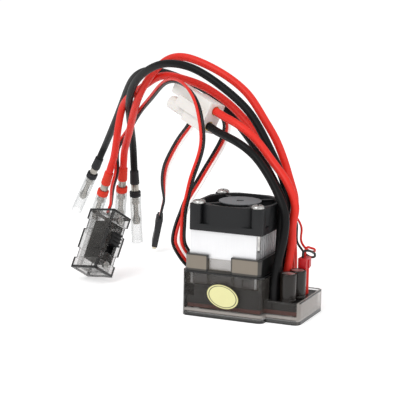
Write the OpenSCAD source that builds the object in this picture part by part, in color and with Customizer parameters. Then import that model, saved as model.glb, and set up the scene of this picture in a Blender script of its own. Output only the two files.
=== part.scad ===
// Brushed motor speed controller with a fan, five plug-on leads and a
// separate slide switch. Millimetres, +Z up, the case stands on z = 0.
// The tall tub is on the left (-X), the low tray with the leads is on the
// right (+X), and the front of the case faces -Y.

/* [Case] */
// width of the tall tub
tub_w = 33.4; // [32.8:0.2:34.4]
// depth of the tall tub
tub_d = 35; // [34:0.5:37]
// height of the tall tub
tub_h = 17.8; // [16.8:0.2:19]
// length of the low tray beside the tub
tray_len = 13.2; // [12.8:0.2:15]
// depth of the low tray
tray_d = 27.4; // [26.8:0.2:30]
// height of the low tray
tray_h = 8.5; // [7.6:0.1:9]
// thickness of the case walls
wall = 1.2; // [1:0.1:1.4]
// top of the upper cover
cover_top = 24.3; // [22:0.1:25]

/* [Heat sink and fan] */
// width of the heat sink
sink_w = 27.1; // [26:0.1:27.4]
// number of fins
fin_count = 15; // [11:1:17]
// thickness of one fin
fin_t = 0.9; // [0.7:0.05:1.1]
// underside of the fan
fan_z = 33.5; // [31:0.5:36]
// outer size of the fan across the flats
fan_size = 30; // [29.6:0.1:30.4]
// thickness of the fan
fan_h = 10; // [9:0.5:12]
// pitch of the fan screws
fan_pitch = 24; // [23.6:0.1:24.4]
// number of fan blades
blade_count = 7; // [5:1:9]

/* [Capacitors] */
// diameter of each capacitor
cap_d = 6.3; // [5.4:0.1:6.3]
// height of each capacitor above the potting
cap_h = 11; // [8:0.5:13]

/* [Switch] */
// travel of the switch knob
switch_travel = 3.4; // [2.8:0.1:3.6]

/* [Sticker] */
// length of the oval sticker
sticker_w = 13; // [10:0.5:14]
// height of the oval sticker
sticker_h = 9; // [7:0.5:10]

/* [Which piece] */
// one piece, or the whole object

/* [Hidden] */

$fn = 48;
eps = 0.01;

// ---- derived sizes
tub_x0 = 10.1 - tub_w;
tub_x1 = 10.1;
tray_x1 = 10.1 + tray_len;
floor_t = 1.4;
board_z = 3.2;
board_t = 1.6;
board_top = board_z + board_t;
pot_tray = 7.9;
pot_tub = 12.4;
in_x0 = tub_x0 + wall;
in_x1 = tub_x1 - wall;
in_y = tub_d / 2 - wall;
sink_x0 = -20.6;
sink_x1 = sink_x0 + sink_w;
sink_y0 = -16;
sink_y1 = 12.6;
sink_z0 = 12.4;
base_t = 3.6;
fan_x = -6.1;
fan_y = -1.7;
fan_top = fan_z + fan_h;
duct_r = 13.9;
post_at = fan_size / 2 - 2.4;
hub_r = 8.2;
shaft_r = 0.75;
lead_r = 1.6;
thin_r = 0.6;
fine_r = 0.45;

// direction the flat leads face
lay = [0.385, -0.903, 0.19];

// ends of the four motor leads: [start, direction]
end_red_a = [[-92.5, 74, 36.5], [-0.185, 0.257, -0.949]];
end_red_b = [[-95.5, 65.5, 35.5], [-0.388, 0.217, -0.896]];
end_black_a = [[-92, 84.5, 33.5], [0.008, 0.103, -0.995]];
end_black_b = [[-123, 111, 33], [-0.49, 0.246, -0.837]];
plug_end = [[-74.5, 75, 17], [-0.261, 0.143, -0.955]];

// battery connector: centre of the rear face and its turn
conn_at = [-25.5, 15.5, 71.5];
conn_turn = [-74.9, -17.3, 154.1];
conn_l = 12;
conn_w = 12.4;
conn_t = 8;
wire_off = 3.3;

// switch: lower corner and its turn
sw_at = [-72.9, 7.5, 7.8];
sw_turn = [-32.4, -8, -18.8];
sw_b = 14.4;
sw_c = 10.7;
sw_a = 26.6;
sw_split = 5;
sw_lead_x = -9;
sw_lead_y = 5.3;

// the last stretch of a lead runs straight into what it plugs into
function turn_x(v, a) = [v.x, v.y * cos(a) - v.z * sin(a), v.y * sin(a) + v.z * cos(a)];
function turn_y(v, a) = [v.x * cos(a) + v.z * sin(a), v.y, v.z * cos(a) - v.x * sin(a)];
function turn_z(v, a) = [v.x * cos(a) - v.y * sin(a), v.x * sin(a) + v.y * cos(a), v.z];
function turned(v, r) = turn_z(turn_y(turn_x(v, r.x), r.y), r.z);
function ahead(e, b) = e[0] - b * e[1] / norm(e[1]);
function run_in(e) = [for (b = [10, 5, 0]) ahead(e, b)];
function flat(p, turn) = [p.x, p.y, p.z, turn];

// lead routes, from the board outwards; a fourth number turns a flat lead
motor_red_a_way = concat([
    [12.2, 9.4, 4.8], [12.2, 9.4, 9.5], [12.2, 9.4, 15], [12, 9.5, 23],
    [11, 10, 31], [11, 10.5, 38], [11, 13, 43], [6, 20, 49],
    [3, 21.5, 56], [-1.5, 23.5, 64], [-7, 25, 71], [-13.5, 27, 79],
    [-20, 28.5, 84], [-28, 29, 88.5], [-37.5, 30, 92], [-46, 31.5, 93.5],
    [-54, 34.5, 91.5], [-62, 39, 85.5], [-70, 44, 76.5], [-77, 52, 66.5],
    [-84, 62.5, 56]],
    run_in(end_red_a));
motor_black_a_way = concat([
    [12, 1.9, 4.8], [12, 1.9, 9.5], [12, 1.9, 15], [11, 2, 23],
    [11, 2, 31], [11, 2, 38], [11, 4.5, 43.5], [6.5, 11, 51],
    [0.5, 13.5, 60.5], [-8, 16.5, 72.5], [-16, 18, 79.5], [-27, 19, 86.5],
    [-36.5, 20.5, 90.5], [-45, 22.5, 91.5], [-53, 25.5, 90.5], [-62, 31, 86.5],
    [-71, 39, 80], [-78, 49, 71], [-86.5, 68, 60], [-90.5, 79, 50]],
    run_in(end_black_a));
motor_red_b_way = concat([
    [12.9, 5.5, 4.8], [12.9, 5.5, 9.5], [12.9, 5.5, 15], [12, 6, 23],
    [11, 6, 31], [11, 6.5, 38], [11, 9, 43.5], [5.5, 15.5, 49.5],
    [-1, 18, 58], [-8.5, 21, 65], [-14, 23.5, 70], [-23, 26.5, 76.5],
    [-35, 30, 82], [-45, 33, 84], [-56, 39, 84.5], [-64, 44, 82],
    [-72, 48.5, 77], [-79.5, 53, 72.5], [-85.5, 58, 67], [-88, 59, 56.5]],
    run_in(end_red_b));
motor_black_b_way = concat([
    [12, -6.7, 4.8], [12, -6.7, 9.5], [12, -6.7, 15], [11.5, -5, 23],
    [11, -3, 31], [11, -2, 38], [11, 0, 44], [4, 8, 50],
    [-4, 18, 55], [-11.5, 24, 61.5], [-20, 28.5, 68.5], [-32, 35, 77],
    [-41, 39.5, 80.5], [-50.5, 44, 82.5], [-60, 49, 84], [-69.5, 55, 84],
    [-77.5, 61, 82.5], [-86, 68, 77.5], [-96, 81, 66.5], [-105.5, 93, 55.5]],
    run_in(end_black_b));
battery_red_way = concat([
    [13.5, -1.6, 4.8], [13.5, -1.6, 9.5], [13.5, -1.6, 15], [14, -0.5, 22],
    [14.5, 1, 29], [14, 2, 36], [15, 3, 42], [10.5, 5, 51],
    [3, 8.5, 57.5], [-4, 10, 65], [-11.5, 10, 70.5]],
    [for (b = [6, 3, 0]) conn_at + turned([-b, -wire_off, 0], conn_turn)]);
battery_black_way = concat([
    [12, -10.8, 4.8], [12, -10.8, 9.5], [12, -10.8, 15], [12.5, -9, 22],
    [13.5, -7, 29], [14, -5.5, 36], [13, -4.5, 42], [8, -1, 49],
    [2.5, 3, 54.5], [-3.5, 5.5, 60], [-10.5, 6, 64.5]],
    [for (b = [6, 3, 0]) conn_at + turned([-b, wire_off, 0], conn_turn)]);
switch_way = concat([
    [-22.1, -6, 20.3, 0], [-24, -6, 20.3, 0], [-25, -11.5, 25.5, 0], [-25.5, -12, 29.5, 0],
    [-25.5, -11.5, 34, 0], [-25.5, -11, 39, 0], [-24.5, -10, 45, 0], [-23.5, -8.5, 52, 0],
    [-21.5, -6.5, 59.5, 0], [-21, -4.5, 66, 0], [-23, -2, 73.5, 0], [-27, 2.5, 80, 40],
    [-34, 9, 84.5, 90], [-43, 17.5, 85.5, 140], [-52.5, 27.5, 82.5, 180], [-64, 40.5, 74, 180],
    [-76, 55.5, 66, 180], [-87, 68, 55.5, 180], [-95.5, 73, 45.5, 170], [-92.5, 68, 37, 150],
    [-86.5, 51, 33, 130]],
    [for (b = [5, 2.5, 0]) flat(sw_at + turned([sw_lead_x, sw_lead_y, sw_a + b], sw_turn), 100)]);
receiver_way = concat([
    [-22.1, 2, 14.5, 0], [-25.5, 2, 14.5, 0], [-29, 1, 16, 0], [-32.5, -2, 23, 0],
    [-33.5, -0.5, 26.5, 0], [-33.5, 2.5, 31, 0], [-33, 5.5, 35, 0], [-32.5, 9, 39.5, 0],
    [-31, 14.5, 44.5, 0], [-30, 21.5, 50, 0], [-29, 29, 55.5, 0], [-28.5, 35.5, 60.5, 0],
    [-29.5, 41, 65, 0], [-33, 45.5, 68.5, 30], [-38.5, 48.5, 71, 70], [-44, 50, 70, 110],
    [-48.5, 52, 66, 150], [-52, 54, 61, 180], [-57, 56.5, 55.5, 180], [-62, 60, 49, 180],
    [-67, 64, 41.5, 170], [-70.5, 69.5, 33.5, 140]],
    [for (b = [9, 4.5, 0]) flat(ahead(plug_end, b), 85)]);
fan_red_way = [
    [8.9, 12.2, 36.8], [10.5, 12.6, 36.6], [12, 13, 35.5], [13, 16, 31.2],
    [13.6, 13.2, 27], [16, 12.2, 24.2], [18.2, 12, 23.2], [20, 11.6, 23.4],
    [20.6, 9.8, 24.8], [19.4, 8.4, 25.4], [18.8, 6.8, 26], [18.2, 6, 25],
    [18.2, 6, 23.8], [18.2, 6, 22.4]];
fan_black_way = [
    [8.9, 12.2, 35.2], [10.5, 12.8, 34.8], [12, 13.2, 33.3], [12, 13, 26.8],
    [13.8, 12.6, 24.2], [16, 11.8, 22.2], [18.4, 11, 21.2], [20.6, 10.2, 21.6],
    [21.2, 8.6, 23.2], [20.8, 8.2, 23.6], [20.6, 6, 24.6], [19.6, 4.2, 25.2],
    [18.4, 3.4, 24.9], [18.2, 3.4, 23.9], [18.2, 3.4, 22.4]];

// ---- helpers
module rblock(x, y, z, w, d, h, r) {
    translate([x + r, y, z]) cube([w - 2 * r, d, h]);
    translate([x, y + r, z]) cube([w, d - 2 * r, h]);
    for (cx = [x + r, x + w - r]) for (cy = [y + r, y + d - r])
        translate([cx, cy, z]) cylinder(r = r, h = h);
}

module at_end(e) {
    d = e[1];
    translate(e[0]) rotate([0, acos(d.z / norm(d)), atan2(d.y, d.x)]) children();
}

function p3(p) = [p.x, p.y, p.z];
function spline(p, i, t) = let (n = len(p), a = p[max(i - 1, 0)], b = p[i],
    c = p[i + 1], d = p[min(i + 2, n - 1)])
    0.5 * (2 * b + (c - a) * t + (2 * a - 5 * b + 4 * c - d) * t * t
        + (3 * b - a - 3 * c + d) * t * t * t);
function smooth(p, n) = concat(
    [for (i = [0:len(p) - 2]) for (j = [0:n - 1]) spline(p, i, j / n)],
    [p[len(p) - 1]]);
function along(q, i) = let (a = p3(q[max(i - 1, 0)]),
    b = p3(q[min(i + 1, len(q) - 1)]), d = b - a) d / norm(d);
function across(t) = let (c = cross(t, lay)) c / norm(c);
function shift(q, off) = [for (i = [0:len(q) - 1])
    let (t = along(q, i), u = across(t), v = cross(t, u))
    p3(q[i]) + off * (cos(q[i][3]) * u + sin(q[i][3]) * v)];

// tube through the points q
module tube(q, r, sides = 8) {
    n = len(q);
    pts = [for (i = [0:n - 1]) let (t = along(q, i), u = across(t), v = cross(t, u))
        for (k = [0:sides - 1]) p3(q[i]) + r * (cos(k * 360 / sides) * u
            + sin(k * 360 / sides) * v)];
    quads = [for (i = [0:n - 2]) for (k = [0:sides - 1])
        let (a = i * sides + k, b = i * sides + (k + 1) % sides)
        each [[a, b, b + sides], [a, b + sides, a + sides]]];
    caps = [[for (k = [0:sides - 1]) sides - 1 - k],
        [for (k = [0:sides - 1]) (n - 1) * sides + k]];
    polyhedron(points = pts, faces = concat(quads, caps), convexity = 10);
}

module lead_holes(r) {
    for (w = [motor_red_a_way, motor_black_a_way, motor_red_b_way,
            motor_black_b_way, battery_red_way, battery_black_way])
        translate([w[0].x, w[0].y, board_top - 1]) cylinder(r = r, h = 12);
}

// ---- case
module lower_case() color([0.45, 0.46, 0.46, 0.5]) {
    difference() {
        union() {
            rblock(tub_x0, -tub_d / 2, 0, tub_w, tub_d, tub_h, 2.4);
            rblock(tub_x1 - 8, -tray_d / 2, 0, tray_len + 8, tray_d, tray_h, 2.4);
        }
        rblock(in_x0, -in_y, floor_t, tub_w - 2 * wall, 2 * in_y, tub_h, 1.2);
        rblock(tub_x1 - 6, -tray_d / 2 + wall, floor_t, tray_len + 6 - wall,
            tray_d - 2 * wall, tray_h - floor_t + eps, 1.2);
        // catch pockets for the cover
        for (s = [-1, 1]) translate([2.7, s * (in_y + 0.25), 14.6])
            cube([2.7, 0.9, 2.7], center = true);
        // way out for the receiver lead
        translate([tub_x0 - 1, 2, 14.5]) rotate([0, 90, 0])
            cylinder(r = 1.85, h = wall + 1.5);
    }
    // posts under the board
    for (p = [[in_x0 + 2.4, -11], [in_x0 + 2.4, 11], [18, -10], [18, 10]])
        translate([p.x, p.y, floor_t - eps]) cylinder(r = 1.3, h = board_z - floor_t + eps);
    // rib that stiffens the step between tub and tray
    translate([tub_x1 - 0.2, -13.5, 2]) cube([0.9, 0.9, tub_h - 3]);
}

module upper_cover() color([0.5, 0.47, 0.43, 0.6]) {
    cx0 = in_x0 + 0.1;
    cx1 = in_x1 - 0.1;
    difference() {
        union() {
            // collar above the tub
            rblock(tub_x0 + 1.2, -17.2, tub_h, tub_w - 2.4, 34.4, cover_top - tub_h, 1.6);
            // skirt inside the tub
            rblock(cx0, -in_y + 0.1, pot_tub, cx1 - cx0, 2 * in_y - 0.2,
                tub_h - pot_tub + eps, 1.2);
            for (s = [-1, 1]) translate([2.7, s * (in_y + 0.2), 14.6])
                cube([2.2, 0.7, 2.2], center = true);
        }
        // opening for the heat sink
        translate([-21, -16.05, tub_h + 0.7]) cube([28.4, 32.1, 10]);
        translate([-21, -15.1, pot_tub - 1]) cube([28.4, 30.2, 10]);
        // notch above a thin window that shows the heat sink, front and back
        for (s = [-1, 1]) {
            translate([-8, s * 17.8, 24.2]) cube([9.6, 2.4, 12], center = true);
            translate([-8, s * 16.6, cover_top + 2.6]) cube([9.6, 2.4, 8], center = true);
        }
        // arched lower edge of the skirt, front and back
        translate([-6.8, 0, pot_tub - 1]) cube([19, 40, 2.4], center = true);
        // way out for the switch lead
        translate([tub_x0 + 0.5, -6, 20.3]) rotate([0, 90, 0])
            cylinder(r = 1.3, h = 4);
        translate([in_x0 - 1, 2, 14.5]) rotate([0, 90, 0])
            cylinder(r = 1.85, h = 4);
    }
}

module circuit_board() color([0.36, 0.2, 0.18]) difference() {
    union() {
        translate([in_x0 + 0.6, -15.4, board_z]) cube([in_x1 - in_x0 - 1.2, 30.8, board_t]);
        translate([in_x1 - 2, -11.9, board_z]) cube([tray_x1 - wall - 0.4 - in_x1 + 2, 23.8, board_t]);
    }
    for (c = [[17, -9], [18.4, -2.2]]) for (s = [-1.25, 1.25])
        translate([c.x + s, c.y, board_z - 1]) cylinder(r = 0.3, h = 4, $fn = 24);
    for (y = [3.4, 6]) translate([19.3, y, board_z - 1]) cylinder(r = 0.6, h = 4, $fn = 24);
}

module potting() color([0.09, 0.09, 0.09]) difference() {
    union() {
        translate([in_x0 + 0.3, -in_y + 0.2, board_top]) cube([tub_w - 2 * wall - 0.6,
            2 * in_y - 0.4, pot_tray - board_top]);
        translate([in_x0 + 3.4, -in_y + 0.2, board_top]) cube([tub_w - 2 * wall - 3.7,
            2 * in_y - 0.4, pot_tub - board_top]);
        translate([in_x1 - 1, -12.3, board_top]) cube([tray_x1 - wall - 0.2 - in_x1 + 1,
            24.6, pot_tray - board_top]);
    }
    // clear of the inner corners
    for (x = [in_x0, in_x1]) for (s = [-1, 1]) translate([x, s * in_y, 0])
        rotate([0, 0, 45]) cube([1.7, 1.7, 40], center = true);
    for (s = [-1, 1]) translate([tray_x1 - wall, s * 12.5, 0])
        rotate([0, 0, 45]) cube([1.7, 1.7, 40], center = true);
    // room for the foot of the heat sink
    translate([-5, -14.6, board_top + 3.2]) cube([10.4, 29.2, 8]);
    mosfet_blocks(0);
    translate([-17.5, -11.3, board_top - 1]) cube([6, 4.4, 2.6]);
    lead_holes(lead_r);
    for (c = [[17, -9], [18.4, -2.2]]) for (s = [-1.25, 1.25])
        translate([c.x + s, c.y, board_top - 1]) cylinder(r = 0.3, h = 6, $fn = 24);
    for (y = [3.4, 6]) translate([19.3, y, board_top - 1]) cylinder(r = 0.6, h = 12, $fn = 24);
    thermal_pad_block();
}

module mosfet_blocks(g) {
    for (y = [-11.2, -3.7, 3.8, 11.2]) translate([-4 - g, y - 3.2 - g, board_top])
        cube([8.4 + 2 * g, 6.4 + 2 * g, 2.4]);
}

module mosfets() color([0.12, 0.12, 0.12]) mosfet_blocks(0);

module thermal_pad_block() {
    translate([-5, -14.6, board_top + 2.4]) cube([10.4, 29.2, 0.8]);
}

module thermal_pad() color([0.75, 0.78, 0.8]) thermal_pad_block();

module controller_chip() color([0.1, 0.1, 0.1])
    translate([-17.5, -11.3, board_top]) cube([6, 4.4, 1.6]);

module heat_sink() color([0.86, 0.87, 0.88]) difference() {
    union() {
        // foot that rests on the pad, and the base plate
        translate([-5, -14.6, board_top + 3.2]) cube([10.4, 29.2, sink_z0 - board_top - 3.2 + eps]);
        translate([sink_x0, -15, sink_z0]) cube([sink_w, sink_y1 + 15, base_t]);
        pitch = (sink_y1 - sink_y0 - fin_t) / (fin_count - 1);
        for (i = [0:fin_count - 1])
            translate([sink_x0, sink_y0 + i * pitch, i == 0 ? tub_h + 0.75 : sink_z0 + base_t - eps])
                cube([sink_w, fin_t, fan_z - (i == 0 ? tub_h + 0.75 : sink_z0 + base_t - eps)]);
        // first fin stands on a ledge of the base
        translate([sink_x0, -15.2, tub_h + 0.75]) cube([sink_w, 0.6, 1.6]);
        translate([sink_x0, -15, sink_z0]) cube([sink_w, 1.2, tub_h + 2.3 - sink_z0]);
        // screw posts, cut back to the outline of the fins
        intersection() {
            for (sx = [-1, 1]) for (sy = [-1, 1])
                translate([fan_x + sx * fan_pitch / 2, fan_y + sy * fan_pitch / 2, sink_z0 + base_t - eps])
                    cylinder(r = 2.1, h = fan_z - sink_z0 - base_t + eps);
            translate([sink_x0, -15, 0]) cube([sink_w, sink_y1 + 15, fan_z]);
        }
    }
    for (sx = [-1, 1]) for (sy = [-1, 1])
        translate([fan_x + sx * fan_pitch / 2, fan_y + sy * fan_pitch / 2, fan_z - 7])
            cylinder(r = 1.25, h = 10);
}

// ---- fan
module fan_frame() color([0.1, 0.1, 0.11]) {
    difference() {
        union() {
            difference() {
                union() {
                    rblock(fan_x - fan_size / 2, fan_y - fan_size / 2, fan_z, fan_size,
                        fan_size, 2.6, 1.6);
                    // barrel, cut flat where it passes the square
                    intersection() {
                        translate([fan_x, fan_y, fan_z])
                            cylinder(r = fan_size / 2 + 1.2, h = fan_h, $fn = 96);
                        translate([fan_x - fan_size / 2, fan_y - fan_size / 2, fan_z])
                            cube([fan_size, fan_size, fan_h]);
                    }
                    for (sx = [-1, 1]) for (sy = [-1, 1])
                        translate([fan_x + sx * post_at, fan_y + sy * post_at, fan_z])
                            rblock(-2.4, -2.4, 0, 4.8, 4.8, fan_h, 1.4);
                }
                translate([fan_x, fan_y, fan_z - 1]) cylinder(r = duct_r, h = fan_h + 2, $fn = 96);
            }
            // four struts carry the motor plate
            for (a = [45:90:359]) translate([fan_x, fan_y, fan_top - 1.3]) rotate([0, 0, a])
                translate([6, -0.8, 0]) cube([8.4, 1.6, 1]);
            translate([fan_x, fan_y, fan_top - 1.3]) cylinder(r = hub_r, h = 1);
            translate([fan_x, fan_y, fan_z + 3.2]) cylinder(r = 2.3, h = fan_h - 4);
        }
        translate([fan_x, fan_y, fan_z + 3]) cylinder(r = 1.5, h = fan_h - 4.6);
        for (sx = [-1, 1]) for (sy = [-1, 1])
            translate([fan_x + sx * fan_pitch / 2, fan_y + sy * fan_pitch / 2, fan_z - 1])
                cylinder(r = 1.35, h = fan_h + 2);
    }
}

module fan_label() color([0.5, 0.51, 0.52])
    translate([fan_x, fan_y, fan_top - 0.3]) difference() {
        cylinder(r = hub_r, h = 0.25);
        translate([0, 0, -1]) cylinder(r = 1.5, h = 3);
    }

module fan_rotor() color([0.09, 0.09, 0.1]) translate([fan_x, fan_y, 0]) difference() {
    union() {
        translate([0, 0, fan_z + 0.7]) cylinder(r = hub_r, h = fan_h - 3, $fn = 64);
        intersection() {
            for (i = [0:blade_count - 1]) rotate([0, 0, i * 360 / blade_count])
                translate([7.6, 0, fan_z + fan_h / 2 - 0.9]) rotate([42, 0, 0])
                    translate([0, -4.4, -0.4]) cube([6.4, 8.8, 0.8]);
            translate([0, 0, fan_z + 0.8]) difference() {
                cylinder(r = duct_r - 0.5, h = fan_h - 3.2, $fn = 96);
                translate([0, 0, -1]) cylinder(r = 7.6, h = fan_h);
            }
        }
    }
    translate([0, 0, fan_z + 1.5]) cylinder(r = 7.4, h = fan_h);
    translate([0, 0, fan_z + 0.9]) cylinder(r = shaft_r, h = fan_h);
}

module fan_shaft() color([0.8, 0.8, 0.82]) translate([fan_x, fan_y, fan_z + 0.9])
    cylinder(r = shaft_r, h = fan_h - 3);

module fan_bearing() color([0.72, 0.5, 0.2]) translate([fan_x, fan_y, fan_z + 3.4])
    difference() {
        cylinder(r = 1.5, h = fan_h - 5.4);
        translate([0, 0, -1]) cylinder(r = shaft_r + 0.03, h = fan_h);
    }

module fan_magnet_ring() color([0.2, 0.19, 0.18]) translate([fan_x, fan_y, fan_z + 1.5])
    difference() {
        cylinder(r = 7.4, h = 5.4);
        translate([0, 0, -1]) cylinder(r = 6.4, h = 9);
    }

module fan_stator() color([0.72, 0.42, 0.2]) translate([fan_x, fan_y, fan_z + 3.4])
    difference() {
        union() {
            cylinder(r = 3.2, h = 3);
            for (a = [0:90:359]) rotate([0, 0, a]) {
                translate([2, -1, 0.6]) cube([3.4, 2, 1.8]);
                intersection() {
                    difference() {
                        cylinder(r = 6.1, h = 3);
                        translate([0, 0, -1]) cylinder(r = 5.2, h = 6);
                    }
                    translate([0, -2.6, -1]) cube([8, 5.2, 6]);
                }
            }
        }
        translate([0, 0, -1]) cylinder(r = 2.3, h = 6);
    }

module fan_circuit_board() color([0.1, 0.3, 0.16])
    translate([fan_x, fan_y, fan_top - 2.1]) difference() {
        cylinder(r = 7, h = 0.8);
        translate([0, 0, -1]) cylinder(r = 2.3, h = 3);
    }

module fan_screws() color([0.75, 0.75, 0.76]) {
    for (sx = [-1, 1]) for (sy = [-1, 1])
        translate([fan_x + sx * fan_pitch / 2, fan_y + sy * fan_pitch / 2, 0])
            difference() {
                union() {
                    translate([0, 0, fan_z - 6]) cylinder(r = 1.25, h = fan_h + 6.2);
                    translate([0, 0, fan_top]) cylinder(r = 2.5, h = 0.8);
                    translate([0, 0, fan_top + 0.8]) cylinder(r1 = 2.5, r2 = 1.7, h = 0.6);
                }
                for (a = [20, 110]) translate([0, 0, fan_top + 1.2]) rotate([0, 0, a])
                    cube([2.6, 0.6, 1.2], center = true);
            }
}

// ---- parts on the tray
module capacitor(x, y) {
    color([0.16, 0.14, 0.12]) translate([x, y, pot_tray]) difference() {
        union() {
            cylinder(r = cap_d / 2, h = cap_h - 0.3);
            translate([0, 0, cap_h - 0.3 - eps]) cylinder(r1 = cap_d / 2, r2 = cap_d / 2 - 0.3, h = 0.3);
        }
        translate([0, 0, cap_h - 0.25]) cylinder(r = cap_d / 2 - 0.55, h = 1);
        // vent cross pressed into the top
        for (a = [25, 115]) translate([0, 0, cap_h - 0.25]) rotate([0, 0, a])
            cube([4, 0.3, 0.3], center = true);
    }
    color([0.8, 0.8, 0.8]) for (s = [-1.25, 1.25])
        translate([x + s, y, board_z]) cylinder(r = 0.3, h = pot_tray - board_z + 0.1, $fn = 24);
}

module capacitor_front() capacitor(17, -9);

module capacitor_rear() capacitor(18.4, -2.2);

module fan_plug() color([0.8, 0.08, 0.1]) difference() {
    union() {
        translate([16.85, 1.7, 18.4]) cube([3.3, 6, 4]);
        // rib that keys the plug
        translate([20.1, 4, 18.4]) cube([0.5, 1.4, 3.2]);
    }
    for (y = [3.4, 6]) translate([19.3, y, 17.4]) cylinder(r = 0.6, h = 2, $fn = 24);
}

module fan_plug_leads() color([0.8, 0.08, 0.1])
    for (y = [3.4, 6]) translate([19.3, y, board_z])
        cylinder(r = 0.6, h = 19.4 - board_z, $fn = 24);

module fan_lead_red() color([0.85, 0.12, 0.1]) tube(smooth(fan_red_way, 3), fine_r, 6);

module fan_lead_black() color([0.1, 0.1, 0.11]) tube(smooth(fan_black_way, 3), fine_r, 6);

// ---- heavy leads
module heavy(way, c) color(c) tube(smooth(way, 2), lead_r);

module battery_lead_red() heavy(battery_red_way, [0.85, 0.12, 0.08]);

module battery_lead_black() heavy(battery_black_way, [0.11, 0.11, 0.12]);

module motor_lead_red_a() heavy(motor_red_a_way, [0.85, 0.12, 0.08]);

module motor_lead_red_b() heavy(motor_red_b_way, [0.85, 0.12, 0.08]);

module motor_lead_black_a() heavy(motor_black_a_way, [0.11, 0.11, 0.12]);

module motor_lead_black_b() heavy(motor_black_b_way, [0.11, 0.11, 0.12]);

// ---- battery connector, built along +X from the rear face
module battery_connector() color([0.94, 0.92, 0.88]) translate(conn_at) rotate(conn_turn)
    difference() {
        union() {
            translate([0, -conn_w / 2, -conn_t / 2]) cube([conn_l, conn_w, conn_t]);
            // square and half-round tube
            translate([conn_l - eps, -wire_off - 2.5, -2.9]) cube([12, 5, 5.8]);
            translate([conn_l - eps, wire_off, 0]) rotate([0, 90, 0]) cylinder(r = 2.7, h = 12);
            translate([conn_l - eps, wire_off - 2.7, -2.9]) cube([12, 5.4, 2.9]);
            // latch arm on the flat side
            translate([2, -2.2, conn_t / 2 - eps]) cube([3, 4.4, 1.4]);
            translate([2, -2.2, conn_t / 2 + 0.6]) cube([15, 4.4, 0.8]);
            translate([16, -2.2, conn_t / 2 - 0.1]) cube([1, 4.4, 1.5]);
        }
        for (s = [-1, 1]) translate([-1, s * wire_off, 0]) rotate([0, 90, 0])
            cylinder(r = 1.9, h = 40);
    }

module battery_sockets() color([0.85, 0.72, 0.38]) translate(conn_at) rotate(conn_turn)
    for (s = [-1, 1]) translate([0, s * wire_off, 0]) rotate([0, 90, 0]) {
        // crimp barrel that meets the end of the lead
        difference() {
            cylinder(r = 1.88, h = 5);
            translate([0, 0, 4]) cylinder(r = 1, h = 2);
        }
        translate([0, 0, 5 - eps]) difference() {
            cylinder(r = 1.88, h = 17);
            translate([0, 0, 2]) cylinder(r = 1.2, h = 20);
            translate([-0.2, -3, 6]) cube([0.4, 6, 20]);
        }
    }

// ---- plug ends of the motor leads, built along the lead
module boot(e, c) color(c) at_end(e) {
    difference() {
        translate([0, 0, -1]) cylinder(r1 = 1.95, r2 = 2.15, h = 6.4 - 2 * eps);
        translate([0, 0, -2]) cylinder(r = lead_r + 0.02, h = 2);
        cylinder(r = 1.33, h = 8);
    }
    // loose ring on the neck
    translate([0, 0, 8.6]) difference() {
        cylinder(r = 2.55, h = 2.6);
        translate([0, 0, -1]) cylinder(r = 1.53, h = 5);
    }
}

module terminal(e) color([0.8, 0.79, 0.76]) at_end(e) difference() {
    union() {
        cylinder(r = 1.3, h = 5.4);
        translate([0, 0, 5.4 - eps]) cylinder(r = 1.75, h = 3.2 + eps);
        translate([0, 0, 8.6 - eps]) cylinder(r = 1.5, h = 5);
        translate([0, 0, 13.6 - eps]) cylinder(r = 1.75, h = 1);
        translate([0, 0, 14.6 - eps]) cylinder(r = 1.15, h = 6);
        translate([0, 0, 20 - eps]) cylinder(r1 = 1.2, r2 = 1.9, h = 2);
        translate([0, 0, 22 - 2 * eps]) cylinder(r1 = 1.9, r2 = 1.5, h = 2);
    }
    // slots that let the bulb spring
    for (a = [0, 90]) rotate([0, 0, a]) translate([-0.2, -3, 15.6]) cube([0.4, 6, 10]);
}

module sleeve(e) color([0.93, 0.94, 0.94, 0.4]) at_end(e) translate([0, 0, 11.2]) difference() {
    cylinder(r = 2.55, h = 21.4);
    translate([0, 0, 1]) cylinder(r = 2.15, h = 30);
    translate([0, 0, -1]) cylinder(r = 1.53, h = 3);
}

module boot_red_a() boot(end_red_a, [0.9, 0.2, 0.15]);
module boot_red_b() boot(end_red_b, [0.9, 0.2, 0.15]);
module boot_black_a() boot(end_black_a, [0.1, 0.1, 0.11]);
module boot_black_b() boot(end_black_b, [0.1, 0.1, 0.11]);
module terminal_red_a() terminal(end_red_a);
module terminal_red_b() terminal(end_red_b);
module terminal_black_a() terminal(end_black_a);
module terminal_black_b() terminal(end_black_b);
module sleeve_red_a() sleeve(end_red_a);
module sleeve_red_b() sleeve(end_red_b);
module sleeve_black_a() sleeve(end_black_a);
module sleeve_black_b() sleeve(end_black_b);

// ---- thin leads, side by side along one route
module thin(way, off, c) color(c) tube(shift(smooth(way, 2), off), thin_r, 6);

module switch_lead_red() thin(switch_way, -0.6, [0.85, 0.12, 0.08]);

module switch_lead_black() thin(switch_way, 0.6, [0.1, 0.1, 0.11]);

module receiver_lead_black() thin(receiver_way, -1.2, [0.1, 0.1, 0.11]);

module receiver_lead_red() thin(receiver_way, 0, [0.85, 0.12, 0.08]);

module receiver_lead_white() thin(receiver_way, 1.2, [0.93, 0.92, 0.9]);

// plug frame: +Z runs on from the lead, X is the thin way
module at_plug() at_end(plug_end) rotate([0, 0, -54]) children();

module receiver_plug() color([0.09, 0.09, 0.1]) at_plug() difference() {
    union() {
        translate([-1.25, -3.8, 0]) cube([2.5, 7.6, 14]);
        translate([-1.6, -3.8, 1]) cube([0.4, 7.6, 4]);
    }
    for (y = [-2.54, 0, 2.54]) translate([-0.8, y - 0.8, 2]) cube([1.6, 1.6, 13]);
}

module receiver_contacts() color([0.8, 0.76, 0.66]) at_plug()
    for (y = [-2.54, 0, 2.54]) translate([-0.8, y - 0.8, 2]) difference() {
        cube([1.6, 1.6, 13]);
        translate([0.3, 0.3, 2]) cube([1, 1, 14]);
    }

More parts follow.
